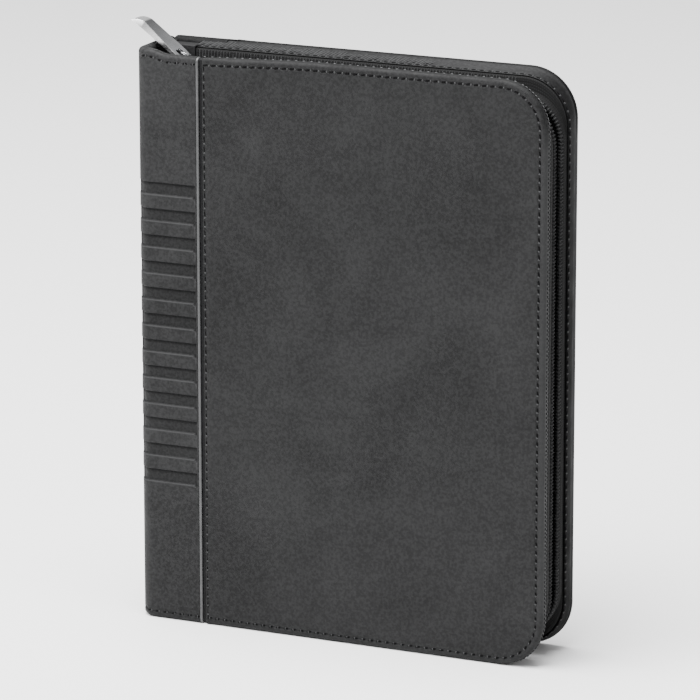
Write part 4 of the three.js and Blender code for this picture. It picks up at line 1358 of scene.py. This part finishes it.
left, right, bottom, top = pocket_edges("back_pad_pocket")
low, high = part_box("back_pad_pocket")
hem("pad_hem", [(right, high.z - 2 * HEM), (left, high.z - PAD_SLANT - HEM), (left, bottom),
                (high.x - OPEN_SIDE, bottom)], low.y - HEM_LIFT, -1, "back_cover")


# The liner that closes the inside of each fold

LINER_DEPTH = 5.2 * MM
LINER_X = SPINE_X + 5.15 * MM
LINER_START = 9.8 * MM
LINER_END = TOP_Z - 3 * MM
LINER_STEPS, LINER_ROWS = 6, 25
LINER_THICKNESS = 0.3 * MM


def hinge_liner(side):
    face_y, sign = facing(side)
    inner_y = face_y - sign * LINER_DEPTH
    corners = [(0, MIDDLE_Y + sign * LINER_START), (0, inner_y - sign * 2.6 * MM),
               (0.35 * MM, inner_y - sign * 1.1 * MM), (1.2 * MM, inner_y - sign * 0.3 * MM),
               (3 * MM, inner_y), (11 * MM, inner_y)]
    line = refined([(LINER_X + x, y) for x, y in corners], LINER_STEPS)
    levels = np.linspace(-LINER_END, LINER_END, LINER_ROWS)
    verts = [(x, y, z) for z in levels for x, y in line]
    piece = add_mesh(f"{side}_hinge_liner", verts, grid_faces(len(levels), len(line)), lining_cloth)
    thicken(piece, LINER_THICKNESS, 0)
    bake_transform(piece, "spine", f"{side}_cover", (LINER_X, inner_y - sign * 3 * MM, 0),
             (LINER_X + 5 * MM, inner_y, 0))


hinge_liner("front")
hinge_liner("back")


# The ring mechanism

RING_COUNT = 6
RING_RADIUS = 7.8 * MM
RING_WIRE = 1.2 * MM
RING_CENTRE_X = SPINE_X + 13.1 * MM
RING_FOOT = 4.9 * MM
RING_BOTTOM_X = SPINE_X + 7.4 * MM
RING_STEPS, RING_SIDES = 30, 16
RING_FOOT_TURN = 0.1
RING_TIP_ANGLE = 0.012
RING_TIP_SHARE = 0.86


def half_rings(side):
    """The smooth half rings of one rail."""
    sign = facing(side)[1]
    foot = math.pi - math.asin(RING_FOOT / RING_RADIUS) + RING_FOOT_TURN
    names = [f"{side}_half_ring_{index}" for index in range(1, RING_COUNT + 1)]
    verts, faces = [], []
    for name in names:
        low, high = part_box(name)
        z = (low.z + high.z) / 2
        base = len(verts)
        for i in range(RING_STEPS + 1):
            angle = foot + (RING_TIP_ANGLE - foot) * i / RING_STEPS
            out = Vector((math.cos(angle), sign * math.sin(angle), 0))
            centre = Vector((RING_CENTRE_X, MIDDLE_Y, z)) + out * RING_RADIUS
            radius = RING_WIRE * (RING_TIP_SHARE if i == RING_STEPS else 1)
            for k in range(RING_SIDES):
                turn = 2 * math.pi * k / RING_SIDES
                rise = Vector((0, 0, radius * math.sin(turn)))
                verts.append(centre + out * radius * math.cos(turn) + rise)
        faces += [tuple(base + v for v in face) for face in grid_faces(RING_STEPS + 1, RING_SIDES, True)]
        faces.append(tuple(range(base, base + RING_SIDES)))
        faces.append(tuple(range(base + RING_STEPS * RING_SIDES, base + (RING_STEPS + 1) * RING_SIDES)))
    piece = add_mesh(f"{side}_rings", verts, faces, ring_nickel, recalculate=True)
    for v in piece.data.vertices:
        v.co.x = max(v.co.x, RING_BOTTOM_X)
    fit_out(piece, f"{side}_rings", "ring_metal", *names)


half_rings("front")
half_rings("back")
fit_out(softened("ring_plate", "arched_plate", ring_nickel, 0.2 * MM, segments=2, smooth_angle=40),
        "spine", "ring_metal", "ring_plate")
for end_name in ("upper", "lower"):
    rivet, lever = f"{end_name}_rivet", f"{end_name}_lever"
    fit_out(softened(rivet, f"{end_name}_dome", ring_nickel, 0.15 * MM, segments=2, smooth_angle=60),
            "spine", "ring_metal", rivet)
    fit_out(softened(lever, f"{end_name}_finger_lever", ring_nickel, 0.3 * MM, smooth_angle=45),
            lever, "ring_metal", lever)
for rail_side in ("front", "back"):
    coat(f"{rail_side}_ring_rail", rail_satin)

drop_items(stitch_grain, bridge_grain, side_stitch_grain, coil_tooth, margin_rib, tiny_stitch,
           tape_tick, rim_dot)


# Stage, light and camera

FLOOR_HALF = 6.0
WORLD_STRENGTH = 0.62
KEY_PLACE, KEY_SIZE, KEY_POWER = (-0.8, -0.95, 0.9), (0.9, 0.8), 22
TOP_PLACE, TOP_TARGET, TOP_SIZE, TOP_POWER = (-0.2, -0.35, 1.9), (0, -0.1, 0), (1.5, 1.5), 160
CAMERA_PLACE = (0.7938, -1.7822, 0.5051)
CAMERA_YAW = 24.265
CAMERA_PITCH = 14.64
CAMERA_ROLL = -0.035
CAMERA_LENS = 253.77


def make_floor():
    corners = ((-1, -1), (1, -1), (1, 1), (-1, 1))
    verts = [(x * FLOOR_HALF, y * FLOOR_HALF, cad_low.z) for x, y in corners]
    finish = blank_material("floor_white", (0.9, 0.9, 0.9), 0.9)[0]
    floor = add_mesh("floor", verts, [(0, 1, 2, 3)], finish)


def add_light(name, place, target, size, power):
    data = bpy.data.lights.new(name, "AREA")
    data.shape = "RECTANGLE"
    data.size, data.size_y = size
    data.energy = power
    light = place_object(name, data)
    light.location = place
    light.rotation_euler = (Vector(target) - Vector(place)).to_track_quat("-Z", "Y").to_euler()


def make_light():
    world = bpy.data.worlds.new("studio")
    world.use_nodes = True
    sky = world.node_tree.nodes["Background"].inputs
    sky["Color"].default_value = (1, 1, 1, 1)
    sky["Strength"].default_value = WORLD_STRENGTH
    bpy.context.scene.world = world
    add_light("key_light", KEY_PLACE, (0, 0, 0), KEY_SIZE, KEY_POWER)
    add_light("top_light", TOP_PLACE, TOP_TARGET, TOP_SIZE, TOP_POWER)


def make_camera():
    data = bpy.data.cameras.new("camera")
    data.lens = CAMERA_LENS
    data.sensor_width = 36
    data.clip_end = 50
    camera = place_object("camera", data)
    camera.location = CAMERA_PLACE
    yaw, pitch, roll = (math.radians(v) for v in (CAMERA_YAW, CAMERA_PITCH, CAMERA_ROLL))
    level = Matrix.Rotation(yaw, 4, "Z") @ Matrix.Rotation(math.pi / 2 - pitch, 4, "X")
    camera.rotation_euler = (level @ Matrix.Rotation(roll, 4, "Z")).to_euler()
    bpy.context.scene.camera = camera


make_floor()
make_light()
make_camera()
